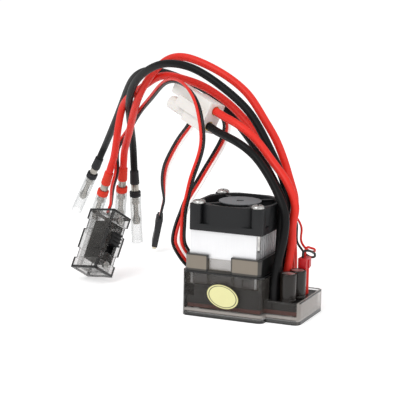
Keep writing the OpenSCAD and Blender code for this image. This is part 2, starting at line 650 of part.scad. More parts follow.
// ---- switch: X across the wide face, Y across the knob face, Z along it
module at_switch() translate(sw_at) rotate(sw_turn) children();

module shell_half(x0, x1, knob) {
    mid = (x0 + x1) / 2;
    difference() {
        union() {
            translate([x0, 0, 0]) cube([x1 - x0, sw_c, 4.6]);
            translate([x0, 0, sw_a - 4.6]) cube([x1 - x0, sw_c, 4.6]);
            translate([knob ? x0 : x0 + 0.8, 0.6, 2]) cube([x1 - x0 - 0.8, sw_c - 1.2, sw_a - 4]);
            translate([x0, 0, 9]) cube([x1 - x0, sw_c, 8.6]);
        }
        // hollow
        translate([knob ? x0 - 1 : x0 + 1.4, 1.4, 1.2]) cube([x1 - x0 - 0.4, sw_c - 2.8, sw_a - 2.4]);
        if (knob) {
            // slot for the knob
            translate([x1 - 3, 3, 8.7]) cube([5, sw_c - 6, 8.9]);
            for (z = [3.4, sw_a - 3.4]) translate([x1 - 3, sw_c / 2, z]) rotate([0, 90, 0])
                cylinder(r = 1, h = 6, $fn = 32);
        }
        // lead hole at the top and a plain hole at the foot
        translate([sw_lead_x, sw_lead_y, sw_a - 3]) cylinder(r = 1.25, h = 6);
        translate([sw_lead_x, sw_lead_y, -1]) cylinder(r = 0.6, h = 4, $fn = 24);
    }
}

module switch_front_shell() color([0.5, 0.51, 0.5, 0.5]) at_switch()
    shell_half(-sw_b + sw_split, 0, true);

module switch_rear_shell() color([0.5, 0.51, 0.5, 0.5]) at_switch()
    shell_half(-sw_b, -sw_b + sw_split, false);

module switch_body() color([0.12, 0.12, 0.13]) at_switch() difference() {
    translate([-10.4, 1.4, 4.9]) cube([9, sw_c - 2.8, 16.8]);
    translate([-3.4, 3.05, 8.7]) cube([4, sw_c - 6.1, 8.9]);
    // solder tags
    for (z = [8.6, 13.3, 18]) translate([-11, 4, z - 0.3]) cube([1.6, 2.6, 0.6]);
}

module switch_tags() color([0.8, 0.76, 0.66]) at_switch()
    for (z = [8.6, 13.3, 18]) translate([-12.4, 4, z - 0.3]) cube([3, 2.6, 0.6]);

module switch_slider() color([0.08, 0.08, 0.09]) at_switch() {
    knob = 8.7 - switch_travel;
    translate([-3.3, 3.1, 17.5 - knob]) cube([4.6, sw_c - 6.2, knob]);
    for (i = [0:3]) translate([1.3 - eps, 3.1, 17.5 - knob + i * (knob - 0.6) / 3])
        cube([0.8, sw_c - 6.2, 0.6]);
}

module switch_screws() color([0.7, 0.7, 0.7]) at_switch()
    for (z = [3.4, sw_a - 3.4]) translate([0, sw_c / 2, z]) rotate([0, 90, 0]) difference() {
        union() {
            translate([0, 0, -1.4]) cylinder(r = 1, h = 1.4, $fn = 32);
            cylinder(r = 1.6, h = 0.7, $fn = 32);
        }
        for (a = [30, 120]) translate([0, 0, 0.7]) rotate([0, 0, a])
            cube([1.8, 0.4, 0.7], center = true);
    }

module sticker() color([0.96, 0.94, 0.66])
    translate([-6.2, -tub_d / 2, 8.9]) rotate([90, 0, 0]) rotate([0, 0, -14])
        scale([sticker_w / 2, sticker_h / 2, 1]) cylinder(r = 1, h = 0.15, $fn = 64);

lower_case();
upper_cover();
circuit_board();
potting();
mosfets();
thermal_pad();
controller_chip();
heat_sink();
fan_frame();
fan_label();
fan_rotor();
fan_shaft();
fan_bearing();
fan_magnet_ring();
fan_stator();
fan_circuit_board();
fan_screws();
capacitor_front();
capacitor_rear();
fan_plug();
fan_plug_leads();
fan_lead_red();
fan_lead_black();
battery_lead_red();
battery_lead_black();
motor_lead_red_a();
motor_lead_red_b();
motor_lead_black_a();
motor_lead_black_b();
battery_connector();
battery_sockets();
boot_red_a();
boot_red_b();
boot_black_a();
boot_black_b();
terminal_red_a();
terminal_red_b();
terminal_black_a();
terminal_black_b();
sleeve_red_a();
sleeve_red_b();
sleeve_black_a();
sleeve_black_b();
switch_lead_red();
switch_lead_black();
receiver_lead_black();
receiver_lead_red();
receiver_lead_white();
receiver_plug();
receiver_contacts();
switch_front_shell();
switch_rear_shell();
switch_body();
switch_tags();
switch_slider();
switch_screws();
sticker();
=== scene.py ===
"""Looks of a motor speed controller with a fan, plug-on leads and a slide switch.

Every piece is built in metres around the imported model: +X runs from the tall
tub to the low tray, the front of the case faces -Y, and it stands on z = 0.
"""

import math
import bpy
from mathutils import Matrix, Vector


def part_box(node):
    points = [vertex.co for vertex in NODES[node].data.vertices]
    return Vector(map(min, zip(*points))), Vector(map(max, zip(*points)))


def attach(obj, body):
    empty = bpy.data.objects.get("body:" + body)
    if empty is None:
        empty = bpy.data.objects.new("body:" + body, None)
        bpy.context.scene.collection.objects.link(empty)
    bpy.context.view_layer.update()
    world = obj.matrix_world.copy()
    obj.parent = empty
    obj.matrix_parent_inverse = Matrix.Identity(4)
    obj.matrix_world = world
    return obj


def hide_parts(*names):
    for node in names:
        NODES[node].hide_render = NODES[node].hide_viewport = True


bl_info = {
    "name": "Speed controller looks",
    "version": (1, 0, 0),
    "blender": (4, 5, 0),
    "location": "View3D > Sidebar > Controller",
    "description": "Builds the leads, fan, plugs, case finishes and stage",
    "category": "Object",
}

import bmesh
import bpy
from mathutils import Euler, Matrix, Vector

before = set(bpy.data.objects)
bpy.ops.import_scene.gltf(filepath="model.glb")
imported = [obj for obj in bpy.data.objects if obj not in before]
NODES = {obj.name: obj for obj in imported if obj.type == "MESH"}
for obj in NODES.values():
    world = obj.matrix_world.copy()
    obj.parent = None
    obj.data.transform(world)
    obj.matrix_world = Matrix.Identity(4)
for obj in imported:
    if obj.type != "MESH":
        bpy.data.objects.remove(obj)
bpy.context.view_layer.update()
MM = 0.001
CASE = "controller"
ROTOR = "fan_rotor_group"
KNOB = "switch_knob"


def tone(red, green, blue):
    """Linear colour of an 8-bit display colour."""
    parts = [c / 255 for c in (red, green, blue)]
    return tuple(c / 12.92 if c <= 0.04045 else ((c + 0.055) / 1.055) ** 2.4 for c in parts)


# ---- routes of the leads, in millimetres; a fourth number turns a flat lead

END_RED_A = ((-92.5, 74, 36.5), (-0.185, 0.257, -0.949))
END_RED_B = ((-95.5, 65.5, 35.5), (-0.388, 0.217, -0.896))
END_BLACK_A = ((-92, 84.5, 33.5), (0.008, 0.103, -0.995))
END_BLACK_B = ((-123, 111, 33), (-0.49, 0.246, -0.837))
PLUG_END = ((-74.5, 75, 17), (-0.261, 0.143, -0.955))
CONNECTOR_AT = Vector((-25.5, 15.5, 71.5))
CONNECTOR_TURN = (-74.9, -17.3, 154.1)
SOCKET_OFF = 3.3
SWITCH_AT = Vector((-72.9, 7.5, 7.8))
SWITCH_TURN = (-32.4, -8, -18.8)
SWITCH_LEAD = (-9, 5.3, 26.6)
RIBBON_FACES = Vector((0.385, -0.903, 0.19))

ROUTES = {
    "motor_red_a": [
        (12.2, 9.4, 4.8), (12.2, 9.4, 9.5), (12.2, 9.4, 15), (12, 9.5, 23),
        (11, 10, 31), (11, 10.5, 38), (11, 13, 43), (6, 20, 49),
        (3, 21.5, 56), (-1.5, 23.5, 64), (-7, 25, 71), (-13.5, 27, 79),
        (-20, 28.5, 84), (-28, 29, 88.5), (-37.5, 30, 92), (-46, 31.5, 93.5),
        (-54, 34.5, 91.5), (-62, 39, 85.5), (-70, 44, 76.5), (-77, 52, 66.5),
        (-84, 62.5, 56)],
    "motor_black_a": [
        (12, 1.9, 4.8), (12, 1.9, 9.5), (12, 1.9, 15), (11, 2, 23),
        (11, 2, 31), (11, 2, 38), (11, 4.5, 43.5), (6.5, 11, 51),
        (0.5, 13.5, 60.5), (-8, 16.5, 72.5), (-16, 18, 79.5), (-27, 19, 86.5),
        (-36.5, 20.5, 90.5), (-45, 22.5, 91.5), (-53, 25.5, 90.5), (-62, 31, 86.5),
        (-71, 39, 80), (-78, 49, 71), (-86.5, 68, 60), (-90.5, 79, 50)],
    "motor_red_b": [
        (12.9, 5.5, 4.8), (12.9, 5.5, 9.5), (12.9, 5.5, 15), (12, 6, 23),
        (11, 6, 31), (11, 6.5, 38), (11, 9, 43.5), (5.5, 15.5, 49.5),
        (-1, 18, 58), (-8.5, 21, 65), (-14, 23.5, 70), (-23, 26.5, 76.5),
        (-35, 30, 82), (-45, 33, 84), (-56, 39, 84.5), (-64, 44, 82),
        (-72, 48.5, 77), (-79.5, 53, 72.5), (-85.5, 58, 67), (-88, 59, 56.5)],
    "motor_black_b": [
        (12, -6.7, 4.8), (12, -6.7, 9.5), (12, -6.7, 15), (11.5, -5, 23),
        (11, -3, 31), (11, -2, 38), (11, 0, 44), (4, 8, 50),
        (-4, 18, 55), (-11.5, 24, 61.5), (-20, 28.5, 68.5), (-32, 35, 77),
        (-41, 39.5, 80.5), (-50.5, 44, 82.5), (-60, 49, 84), (-69.5, 55, 84),
        (-77.5, 61, 82.5), (-86, 68, 77.5), (-96, 81, 66.5), (-105.5, 93, 55.5)],
    "battery_red": [
        (13.5, -1.6, 4.8), (13.5, -1.6, 9.5), (13.5, -1.6, 15), (14, -0.5, 22),
        (14.5, 1, 29), (14, 2, 36), (15, 3, 42), (10.5, 5, 51),
        (3, 8.5, 57.5), (-4, 10, 65), (-11.5, 10, 70.5)],
    "battery_black": [
        (12, -10.8, 4.8), (12, -10.8, 9.5), (12, -10.8, 15), (12.5, -9, 22),
        (13.5, -7, 29), (14, -5.5, 36), (13, -4.5, 42), (8, -1, 49),
        (2.5, 3, 54.5), (-3.5, 5.5, 60), (-10.5, 6, 64.5)],
    "switch": [
        (-22.1, -6, 20.3, 0), (-24, -6, 20.3, 0), (-25, -11.5, 25.5, 0), (-25.5, -12, 29.5, 0),
        (-25.5, -11.5, 34, 0), (-25.5, -11, 39, 0), (-24.5, -10, 45, 0), (-23.5, -8.5, 52, 0),
        (-21.5, -6.5, 59.5, 0), (-21, -4.5, 66, 0), (-23, -2, 73.5, 0), (-27, 2.5, 80, 40),
        (-34, 9, 84.5, 90), (-43, 17.5, 85.5, 140), (-52.5, 27.5, 82.5, 180), (-64, 40.5, 74, 180),
        (-76, 55.5, 66, 180), (-87, 68, 55.5, 180), (-95.5, 73, 45.5, 170), (-92.5, 68, 37, 150),
        (-86.5, 51, 33, 130)],
    "receiver": [
        (-22.1, 2, 14.5, 0), (-25.5, 2, 14.5, 0), (-29, 1, 16, 0), (-32.5, -2, 23, 0),
        (-33.5, -0.5, 26.5, 0), (-33.5, 2.5, 31, 0), (-33, 5.5, 35, 0), (-32.5, 9, 39.5, 0),
        (-31, 14.5, 44.5, 0), (-30, 21.5, 50, 0), (-29, 29, 55.5, 0), (-28.5, 35.5, 60.5, 0),
        (-29.5, 41, 65, 0), (-33, 45.5, 68.5, 30), (-38.5, 48.5, 71, 70), (-44, 50, 70, 110),
        (-48.5, 52, 66, 150), (-52, 54, 61, 180), (-57, 56.5, 55.5, 180), (-62, 60, 49, 180),
        (-67, 64, 41.5, 170), (-70.5, 69.5, 33.5, 140)],
    "fan_lead_red": [
        (8.9, 12.2, 36.8), (10.5, 12.6, 36.6), (12, 13, 35.5), (13, 16, 31.2),
        (13.6, 13.2, 27), (16, 12.2, 24.2), (18.2, 12, 23.2), (20, 11.6, 23.4),
        (20.6, 9.8, 24.8), (19.4, 8.4, 25.4), (18.8, 6.8, 26), (18.2, 6, 25),
        (18.2, 6, 23.8), (18.2, 6, 22.4)],
    "fan_lead_black": [
        (8.9, 12.2, 35.2), (10.5, 12.8, 34.8), (12, 13.2, 33.3), (12, 13, 26.8),
        (13.8, 12.6, 24.2), (16, 11.8, 22.2), (18.4, 11, 21.2), (20.6, 10.2, 21.6),
        (21.2, 8.6, 23.2), (20.8, 8.2, 23.6), (20.6, 6, 24.6), (19.6, 4.2, 25.2),
        (18.4, 3.4, 24.9), (18.2, 3.4, 23.9), (18.2, 3.4, 22.4)],
}


# Light tint painted into stretches of clear plastic, standing in for light that comes through from behind.
PAINTED_LIGHT_TINT = tone(214, 206, 200)
COVER_WINDOW = (-12.8 * MM, -3.2 * MM, 16.65 * MM)
TUB_END = 10.1 * MM
TRAY_HALF = 13.7 * MM
TRAY_TOP = 8.5 * MM


def turn_matrix(degrees):
    """Rotation that turns about X, then Y, then Z."""
    return Euler([math.radians(a) for a in degrees], "XYZ").to_matrix()


def ahead(end, back):
    """Point that lies back millimetres before a lead's end."""
    return Vector(end[0]) - back * Vector(end[1]).normalized()


def run_in(end):
    """Last straight stretch of a lead into its plug."""
    return [tuple(ahead(end, back)) for back in (10, 5, 0)]


def connector_run_in(side):
    """Last straight stretch of a battery lead into its connector."""
    turn = turn_matrix(CONNECTOR_TURN)
    return [tuple(CONNECTOR_AT + turn @ Vector((-b, side * SOCKET_OFF, 0))) for b in (6, 3, 0)]


def switch_run_in():
    """Last straight stretch of the flat lead into the switch."""
    turn = turn_matrix(SWITCH_TURN)
    x, y, z = SWITCH_LEAD
    return [tuple(SWITCH_AT + turn @ Vector((x, y, z + b))) + (100,) for b in (5, 2.5, 0)]


def plug_run_in():
    """Last straight stretch of the receiver lead into its plug."""
    return [tuple(ahead(PLUG_END, b)) + (85,) for b in (9, 4.5, 0)]


def smooth(points, steps):
    """Points on a smooth curve through the given ones, with any extra numbers."""
    out = []
    last = len(points) - 1
    for i in range(last):
        a, b = points[max(i - 1, 0)], points[i]
        c, d = points[i + 1], points[min(i + 2, last)]
        for j in range(steps):
            t = j / steps
            out.append([0.5 * (2 * q + (r - p) * t + (2 * p - 5 * q + 4 * r - s) * t * t
                               + (3 * q - p - 3 * r + s) * t ** 3)
                        for p, q, r, s in zip(a, b, c, d)])
    return out + [list(points[last])]


def eased(points, passes):
    """The same points with their small kinks drawn out, the ends kept."""
    for _ in range(passes):
        inner = [[(p + 2 * q + r) / 4 for p, q, r in zip(*points[i - 1:i + 2])]
                 for i in range(1, len(points) - 1)]
        points = [points[0]] + inner + [points[-1]]
    return points


def ribbon_strand(points, off):
    """Path of one strand that lies off millimetres from a flat lead's middle."""
    out = []
    for i, point in enumerate(points):
        before, after = points[max(i - 1, 0)], points[min(i + 1, len(points) - 1)]
        run = (Vector(after[:3]) - Vector(before[:3])).normalized()
        across = run.cross(RIBBON_FACES).normalized()
        up = run.cross(across)
        turn = math.radians(point[3])
        out.append(Vector(point[:3]) + off * (math.cos(turn) * across + math.sin(turn) * up))
    return out


# ---- sizes and colours a user would change


class LeadSettings(bpy.types.PropertyGroup):
    heavy: bpy.props.FloatProperty(
        name="Power lead", description="Diameter of a power lead",
        default=3.2 * MM, subtype="DISTANCE", unit="LENGTH")
    thin: bpy.props.FloatProperty(
        name="Signal strand", description="Diameter of one strand of a flat lead",
        default=1.2 * MM, subtype="DISTANCE", unit="LENGTH")
    fine: bpy.props.FloatProperty(
        name="Fan lead", description="Diameter of a fan lead",
        default=0.9 * MM, subtype="DISTANCE", unit="LENGTH")
    red: bpy.props.FloatVectorProperty(
        name="Red", description="Colour of the red insulation",
        default=tone(244, 46, 32), subtype="COLOR", size=3)
    black: bpy.props.FloatVectorProperty(
        name="Black", description="Colour of the black insulation",
        default=tone(13, 13, 14), subtype="COLOR", size=3)
    white: bpy.props.FloatVectorProperty(
        name="White", description="Colour of the white signal strand",
        default=tone(255, 254, 252), subtype="COLOR", size=3)


class CaseSettings(bpy.types.PropertyGroup):
    face: bpy.props.FloatVectorProperty(
        name="Face", description="Tint of the clear plastic seen straight on",
        default=tone(104, 99, 94), subtype="COLOR", size=3)
    # The edge tint is also the colour of the painted edge shade on the case and the cover.
    edge: bpy.props.FloatVectorProperty(
        name="Edge", description="Tint of the clear plastic seen along its wall",
        default=tone(26, 27, 27), subtype="COLOR", size=3)
    cover: bpy.props.FloatVectorProperty(
        name="Cover", description="Tint of the upper cover",
        default=tone(146, 136, 123), subtype="COLOR", size=3)
    sticker: bpy.props.FloatVectorProperty(
        name="Sticker", description="Colour of the oval sticker",
        default=tone(250, 246, 184), subtype="COLOR", size=3)


class FanSettings(bpy.types.PropertyGroup):
    blades: bpy.props.IntProperty(
        name="Blades", description="Number of fan blades", default=7, min=3, max=13)
    hub: bpy.props.FloatProperty(
        name="Hub radius", description="Radius of the fan's hub",
        default=8.2 * MM, subtype="DISTANCE", unit="LENGTH")
    plastic: bpy.props.FloatVectorProperty(
        name="Plastic", description="Colour of the fan's moulding",
        default=tone(24, 25, 27), subtype="COLOR", size=3)


class StageSettings(bpy.types.PropertyGroup):
    surround: bpy.props.FloatProperty(
        name="Surround", description="Strength of the even light all round",
        default=0.62, min=0)
    key: bpy.props.FloatProperty(
        name="Key", description="Power of the large light above the front",
        default=4.2, min=0, unit="POWER")
    lens: bpy.props.FloatProperty(
        name="Lens", description="Focal length on a 36 mm sensor, in millimetres",
        default=151.8, min=20)


class ControllerSettings(bpy.types.PropertyGroup):
    leads: bpy.props.PointerProperty(type=LeadSettings)
    case: bpy.props.PointerProperty(type=CaseSettings)
    fan: bpy.props.PointerProperty(type=FanSettings)
    stage: bpy.props.PointerProperty(type=StageSettings)


def settings():
    return bpy.context.scene.controller


# ---- shader expressions


class Value:
    """A shader socket that takes part in Python expressions."""

    def __init__(self, shade, socket):
        self.shade, self.socket = shade, socket

    def maths(self, operation, *values):
        return self.shade.node("ShaderNodeMath", {"operation": operation}, *values)

    def __add__(self, other):
        return self.maths("ADD", self, other)

    __radd__ = __add__

    def __sub__(self, other):
        return self.maths("SUBTRACT", self, other)

    def __rsub__(self, other):
        return self.maths("SUBTRACT", other, self)

    def __mul__(self, other):
        return self.maths("MULTIPLY", self, other)

    __rmul__ = __mul__

    def __truediv__(self, other):
        return self.maths("DIVIDE", self, other)

    def __pow__(self, other):
        return self.maths("POWER", self, other)

    def __abs__(self):
        return self.maths("ABSOLUTE", self)

    def above(self, low, high):
        """0 below low, 1 above high, and a soft step between."""
        return self.shade.node("ShaderNodeMapRange", {"interpolation_type": "SMOOTHSTEP"},
                               self, low, high)

    def limited(self):
        return self.maths("MINIMUM", self.maths("MAXIMUM", self, 0), 1)


class Shade:
    """A material under construction."""

    def __init__(self, name):
        self.material = bpy.data.materials.new(name)
        self.material.use_nodes = True
        self.tree = self.material.node_tree
        self.tree.nodes.clear()

    def feed(self, socket, value):
        if isinstance(value, Value):
            self.tree.links.new(value.socket, socket)
        elif hasattr(value, "__len__") and len(value) == 3 and socket.type == "RGBA":
            socket.default_value = (*value, 1)
        else:
            socket.default_value = value

    def node(self, kind, options=None, *values, out=0, **named):
        """Adds a node: its options first, then the values or links of its sockets."""
        node = self.tree.nodes.new(kind)
        for key, option in (options or {}).items():
            setattr(node, key, option)
        for socket, value in zip(node.inputs, values):
            self.feed(socket, value)
        for key, value in named.items():
            self.feed(node.inputs[key.replace("_", " ")], value)
        return Value(self, node.outputs[out]) if len(node.outputs) else None

    def place(self, scale=(1, 1, 1), turn=(0, 0, 0), centre=(0, 0, 0)):
        """Object coordinates, centred, turned and scaled."""
        coords = self.node("ShaderNodeTexCoord", out=3)
        return self.node("ShaderNodeMapping", {"vector_type": "TEXTURE"}, coords,
                         Location=centre, Rotation=turn, Scale=scale)

    def axes(self, vector):
        split = self.node("ShaderNodeSeparateXYZ", None, vector)
        return [Value(self, out) for out in split.socket.node.outputs]

    def noise(self, scale, detail=3.0, vector=None):
        return self.node("ShaderNodeTexNoise", None, vector or self.place(),
                         Scale=scale, Detail=detail)

    def mix(self, first, second, factor):
        """Colour that runs from first to second as factor goes from 0 to 1."""
        node = self.tree.nodes.new("ShaderNodeMix")
        node.data_type = "RGBA"
        self.feed(node.inputs[0], factor)
        self.feed(node.inputs[6], first)
        self.feed(node.inputs[7], second)
        return Value(self, node.outputs[2])

    def bump(self, height, depth):
        return self.node("ShaderNodeBump", None, Height=height, Distance=depth, Strength=1.0)

    def surface(self, **sockets):
        """Ends the material in a Principled surface with these sockets."""
        shader = self.node("ShaderNodeBsdfPrincipled", None, **sockets)
        self.node("ShaderNodeOutputMaterial", None, shader)
        return self.material


def darker(colour, share):
    return tuple(c * share for c in colour)


# ---- materials


def silicone(name, colour, gloss=0.3):
    """Soft insulation with a dusty sheen and faint drawing marks along it."""
    s = Shade(name)
    uv = s.node("ShaderNodeTexCoord", out=2)
    drawn = s.node("ShaderNodeMapping", None, uv, Scale=(26, 0.35, 1))
    streak = s.node("ShaderNodeTexNoise", None, drawn, Scale=1.0, Detail=2.0)
    dust = s.noise(900, 4)
    tint = s.mix(darker(colour, 0.86), [min(1, c * 1.08 + 0.004) for c in colour], dust)
    return s.surface(
        Base_Color=tint, Roughness=0.36 + 0.16 * dust, Specular_IOR_Level=gloss,
        Normal=s.bump(streak + 0.6 * dust, 0.00004))


def vinyl(name, colour, glow=0.0):
    """Thin, slightly shiny insulation of a signal strand; glow adds a painted glow, light the strand gives
    out of its own.
    """
    s = Shade(name)
    speck = s.noise(1500, 2)
    return s.surface(
        Base_Color=s.mix(darker(colour, 0.84), colour, speck),
        Roughness=0.3 + 0.14 * speck, Specular_IOR_Level=0.4,
        Emission_Color=colour, Emission_Strength=glow, Normal=s.bump(speck, 0.00002))


def between(value, low, high, fade=0.22 * MM):
    """One inside a stretch and nothing outside it, with soft ends."""
    return value.above(low - fade, low + fade) * (1 - value.above(high - fade, high + fade))


def clear_plastic(name, face, edge, thin, bands=(), rough=0.16, pale=(), frosted=None, window=None,
                  shade_outlines=()):
    """Smoky moulded plastic, darker where the wall is seen along its length.

    bands are (axis, from, to) stretches in metres where the wall is seen edge on;
    they are painted dark as edge shade. pale are stretches of painted light, where
    the wall looks as if it gathers the light behind it. Above the height frosted the
    plastic is nearly opaque, except in the thin window, whose numbers are its two
    ends along X and how far out along Y it reaches. The outline boxes are given as
    centre, turn, lower corner, upper corner, width; their edges get painted dark shade.
    """
    s = Shade(name)
    axes = s.axes(s.place())
    facing = s.node("ShaderNodeLayerWeight", None, 0.42, out=1)
    grazing_and_painted_edge_shade = facing ** 2.2
    # Painted edge shade: the given stretches and the edges of the outline boxes are made dark and opaque, on
    # top of the darkening from the grazing view.
    for axis, low, high in bands:
        grazing_and_painted_edge_shade = grazing_and_painted_edge_shade + 0.85 * between(axes[axis], low, high)
    for centre, turn, lows, highs, width in shade_outlines:
        near = []
        for value, low, high in zip(s.axes(s.place(centre=centre, turn=turn)), lows, highs):
            half = (high - low) / 2
            near.append(between(abs(value - (low + high) / 2), half - width, half + 0.4 * MM, 0.15 * MM))
        grazing_and_painted_edge_shade = grazing_and_painted_edge_shade + 0.9 * (near[0] * near[1] + near[1] * near[2] + near[0] * near[2])
    grazing_and_painted_edge_shade = grazing_and_painted_edge_shade.limited()
    body = thin
    light = None
    for axis, low, high in pale:
        stretch = between(axes[axis], low, high)
        light = stretch if light is None else light + stretch
    if frosted is not None:
        dense = axes[2].above(frosted - 0.2 * MM, frosted + 0.2 * MM)
        open_part = between(axes[0], window[0], window[1], 0.1 * MM) * (
            1 - abs(axes[1]).above(window[2] - 0.05 * MM, window[2] + 0.05 * MM))
        body = body + (0.9 - thin) * dense * (1 - open_part)
    haze = s.noise(260, 4)
    scratch = s.node("ShaderNodeTexNoise", None, s.place(turn=(0.3, 0.2, 0.5), scale=(1, 16, 1)),
                     Scale=2600.0, Detail=2.0)
    ground = face
    if frosted is not None:
        ground = s.mix(darker(face, 0.5), face, dense)
    # Painted light: the pale stretches get the light tint and more opacity, as if light came through the
    # wall from behind.
    if light is not None:
        light = light.limited()
        ground = s.mix(face, PAINTED_LIGHT_TINT, light)
        body = body + 0.36 * light
    # The base colour runs to the edge tint, and the alpha rises, with the grazing view and with the painted
    # edge shade.
    return s.surface(
        Base_Color=s.mix(ground, edge, (grazing_and_painted_edge_shade + 0.12 * (haze - 0.5)).limited()),
        Roughness=rough + 0.1 * scratch,
        Alpha=(body + (0.97 - thin) * grazing_and_painted_edge_shade + 0.04 * haze).limited(),
        Specular_IOR_Level=0.5,
        Normal=s.bump(haze + 0.2 * scratch, 0.00003))


def brushed_aluminium(low, high):
    """Bright extrusion with fine marks that run up the fins, and painted shade between them."""
    s = Shade("brushed aluminium")
    axes = s.axes(s.place())
    grain = s.node("ShaderNodeTexNoise", None, s.place(scale=(1, 1, 40)),
                   Scale=5200.0, Detail=3.0)
    cloud = s.noise(120, 3)
    # Painted shade: faces set back between the fins are darkened, as if the light did not reach into the
    # gaps.
    painted_gap_shade = between(axes[0], low[0] + 0.9 * MM, high[0] - 0.9 * MM) * between(
        axes[1], low[1] + 0.6 * MM, high[1] - 0.6 * MM, 0.1 * MM)
    bright = s.mix(tone(232, 232, 234), tone(250, 250, 251), 0.55 * grain + 0.5 * cloud)
    return s.surface(
        # The dark tone mixed in here is the painted shade between the fins.
        Base_Color=s.mix(bright, tone(92, 92, 95), 0.9 * painted_gap_shade), Metallic=0.78, Roughness=0.4 + 0.14 * grain,
        Normal=s.bump(grain, 0.000005))


def moulded(name, colour, rough=0.42, gloss=0.3, grain=1400, depth=0.000018):
    """Opaque moulding with a fine spark-eroded grain and soft mottling."""
    s = Shade(name)
    fine = s.noise(grain, 3)
    cloud = s.noise(140, 2)
    tint = s.mix(darker(colour, 0.82), [min(1, c * 1.12) for c in colour], 0.5 * fine + 0.5 * cloud)
    return s.surface(
        Base_Color=tint, Roughness=rough + 0.18 * fine, Specular_IOR_Level=gloss,
        Normal=s.bump(fine, depth))


def nylon(name, colour):
    """Pale translucent housing with a waxy surface."""
    s = Shade(name)
    flow = s.noise(180, 3)
    fine = s.noise(1600, 2)
    return s.surface(
        Base_Color=s.mix(darker(colour, 0.9), colour, flow), Roughness=0.38 + 0.14 * fine,
        Subsurface_Weight=0.12, Subsurface_Radius=(0.001, 0.0008, 0.0006),
        Specular_IOR_Level=0.4, Normal=s.bump(fine, 0.000015))


def plated(name, colour, rough=0.2):
    """Plated metal with small stains and handling marks."""
    s = Shade(name)
    stain = s.noise(420, 5)
    mark = s.noise(2600, 2)
    return s.surface(
        Base_Color=s.mix(darker(colour, 0.66), colour, stain.above(0.3, 0.62)), Metallic=1.0,
        Roughness=rough + 0.22 * mark, Normal=s.bump(mark, 0.00001))


def resin():
    """Black cast resin with a settled, slightly wavy skin."""
    s = Shade("cast resin")
    wave = s.noise(90, 2)
    dust = s.noise(1900, 3)
    return s.surface(
        Base_Color=s.mix(tone(18, 17, 17), tone(44, 41, 40), dust * wave.above(0.3, 0.8)),
        Roughness=0.3 + 0.3 * dust, Specular_IOR_Level=0.35, Normal=s.bump(wave, 0.00025))


def laminate():
    """Reddish circuit board whose edge shows its glass layers."""
    s = Shade("laminate")
    height = s.axes(s.place())[2]
    layers = s.node("ShaderNodeMath", {"operation": "SINE"}, height * 16000)
    fibre = s.noise(1500, 2)
    return s.surface(
        Base_Color=s.mix(tone(84, 42, 40), tone(140, 84, 72), (0.25 * layers + 0.6 * fibre).limited()),
        Roughness=0.45 + 0.2 * fibre, Normal=s.bump(layers, 0.00002))


def shrink_sleeve():
    """Glossy dark sleeve with faint wrinkles from shrinking."""
    s = Shade("shrink sleeve")
    wrinkle = s.node("ShaderNodeTexNoise", None, s.place(scale=(1, 1, 6)), Scale=620.0, Detail=3.0)
    return s.surface(
        Base_Color=s.mix(tone(16, 13, 11), tone(38, 31, 26), wrinkle),
        Roughness=0.16 + 0.14 * wrinkle, Specular_IOR_Level=0.4, Normal=s.bump(wrinkle, 0.00005))


def paper_oval(colour, centre, turn, half):
    """Plain oval sticker with one thin dark line inside its edge."""
    s = Shade("plain sticker")
    x, _, z = s.axes(s.place(centre=centre, turn=(0, turn, 0)))
    reach = (((x / half[0]) ** 2 + (z / half[1]) ** 2)) ** 0.5
    line = reach.above(0.83, 0.86) * (1 - reach.above(0.89, 0.92))
    rim = reach.above(0.955, 0.985)
    fibre = s.noise(2200, 4)
    ground = s.mix(darker(colour, 0.93), colour, fibre)
    inked = s.mix(ground, tone(72, 66, 54), 0.85 * line)
    return s.surface(
        Base_Color=s.mix(inked, tone(206, 198, 140), 0.8 * rim), Roughness=0.42 + 0.2 * fibre,
        Specular_IOR_Level=0.3, Normal=s.bump(s.noise(300, 2), 0.00006))


# ---- mesh helpers


def finish_mesh(mesh, angle=38):
    """Smooth shading with real edges kept sharp."""
    for face in mesh.polygons:
        face.use_smooth = True
    mesh.set_sharp_from_angle(angle=math.radians(angle))
    return mesh


def mesh_from(name, verts, faces):
    mesh = bpy.data.meshes.new(name)
    mesh.from_pydata([tuple(v) for v in verts], [], faces)
    return mesh


def piece(name, mesh, body, slot, material, *nodes):
    """Puts a mesh in the scene as a piece that rides on a body."""
    obj = bpy.data.objects.new(name, mesh)
    bpy.context.scene.collection.objects.link(obj)
    mesh.materials.clear()
    mesh.materials.append(material)
    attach(obj, body)
    if nodes:
        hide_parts(*nodes)
    return obj


def paint(material, *nodes):
    """Gives CAD nodes that keep their shape a better material."""
    for node in nodes:
        obj = NODES[node]
        for slot in obj.material_slots:
            slot.material = material


def softened(node, width, angle=34):
    """Copy of a CAD node's mesh with its hard edges rounded off."""
    mesh = NODES[node].data.copy()
    work = bmesh.new()
    work.from_mesh(mesh)
    bmesh.ops.remove_doubles(work, verts=work.verts, dist=2e-6)
    bmesh.ops.dissolve_limit(work, angle_limit=math.radians(0.6), verts=work.verts, edges=work.edges)
    hard = [e for e in work.edges
            if len(e.link_faces) == 2 and e.calc_face_angle(0) > math.radians(angle)]
    bmesh.ops.bevel(work, geom=hard, offset=width, segments=2, affect="EDGES",
                    clamp_overlap=True, profile=0.6)
    work.to_mesh(mesh)
    work.free()
    return finish_mesh(mesh, 45)


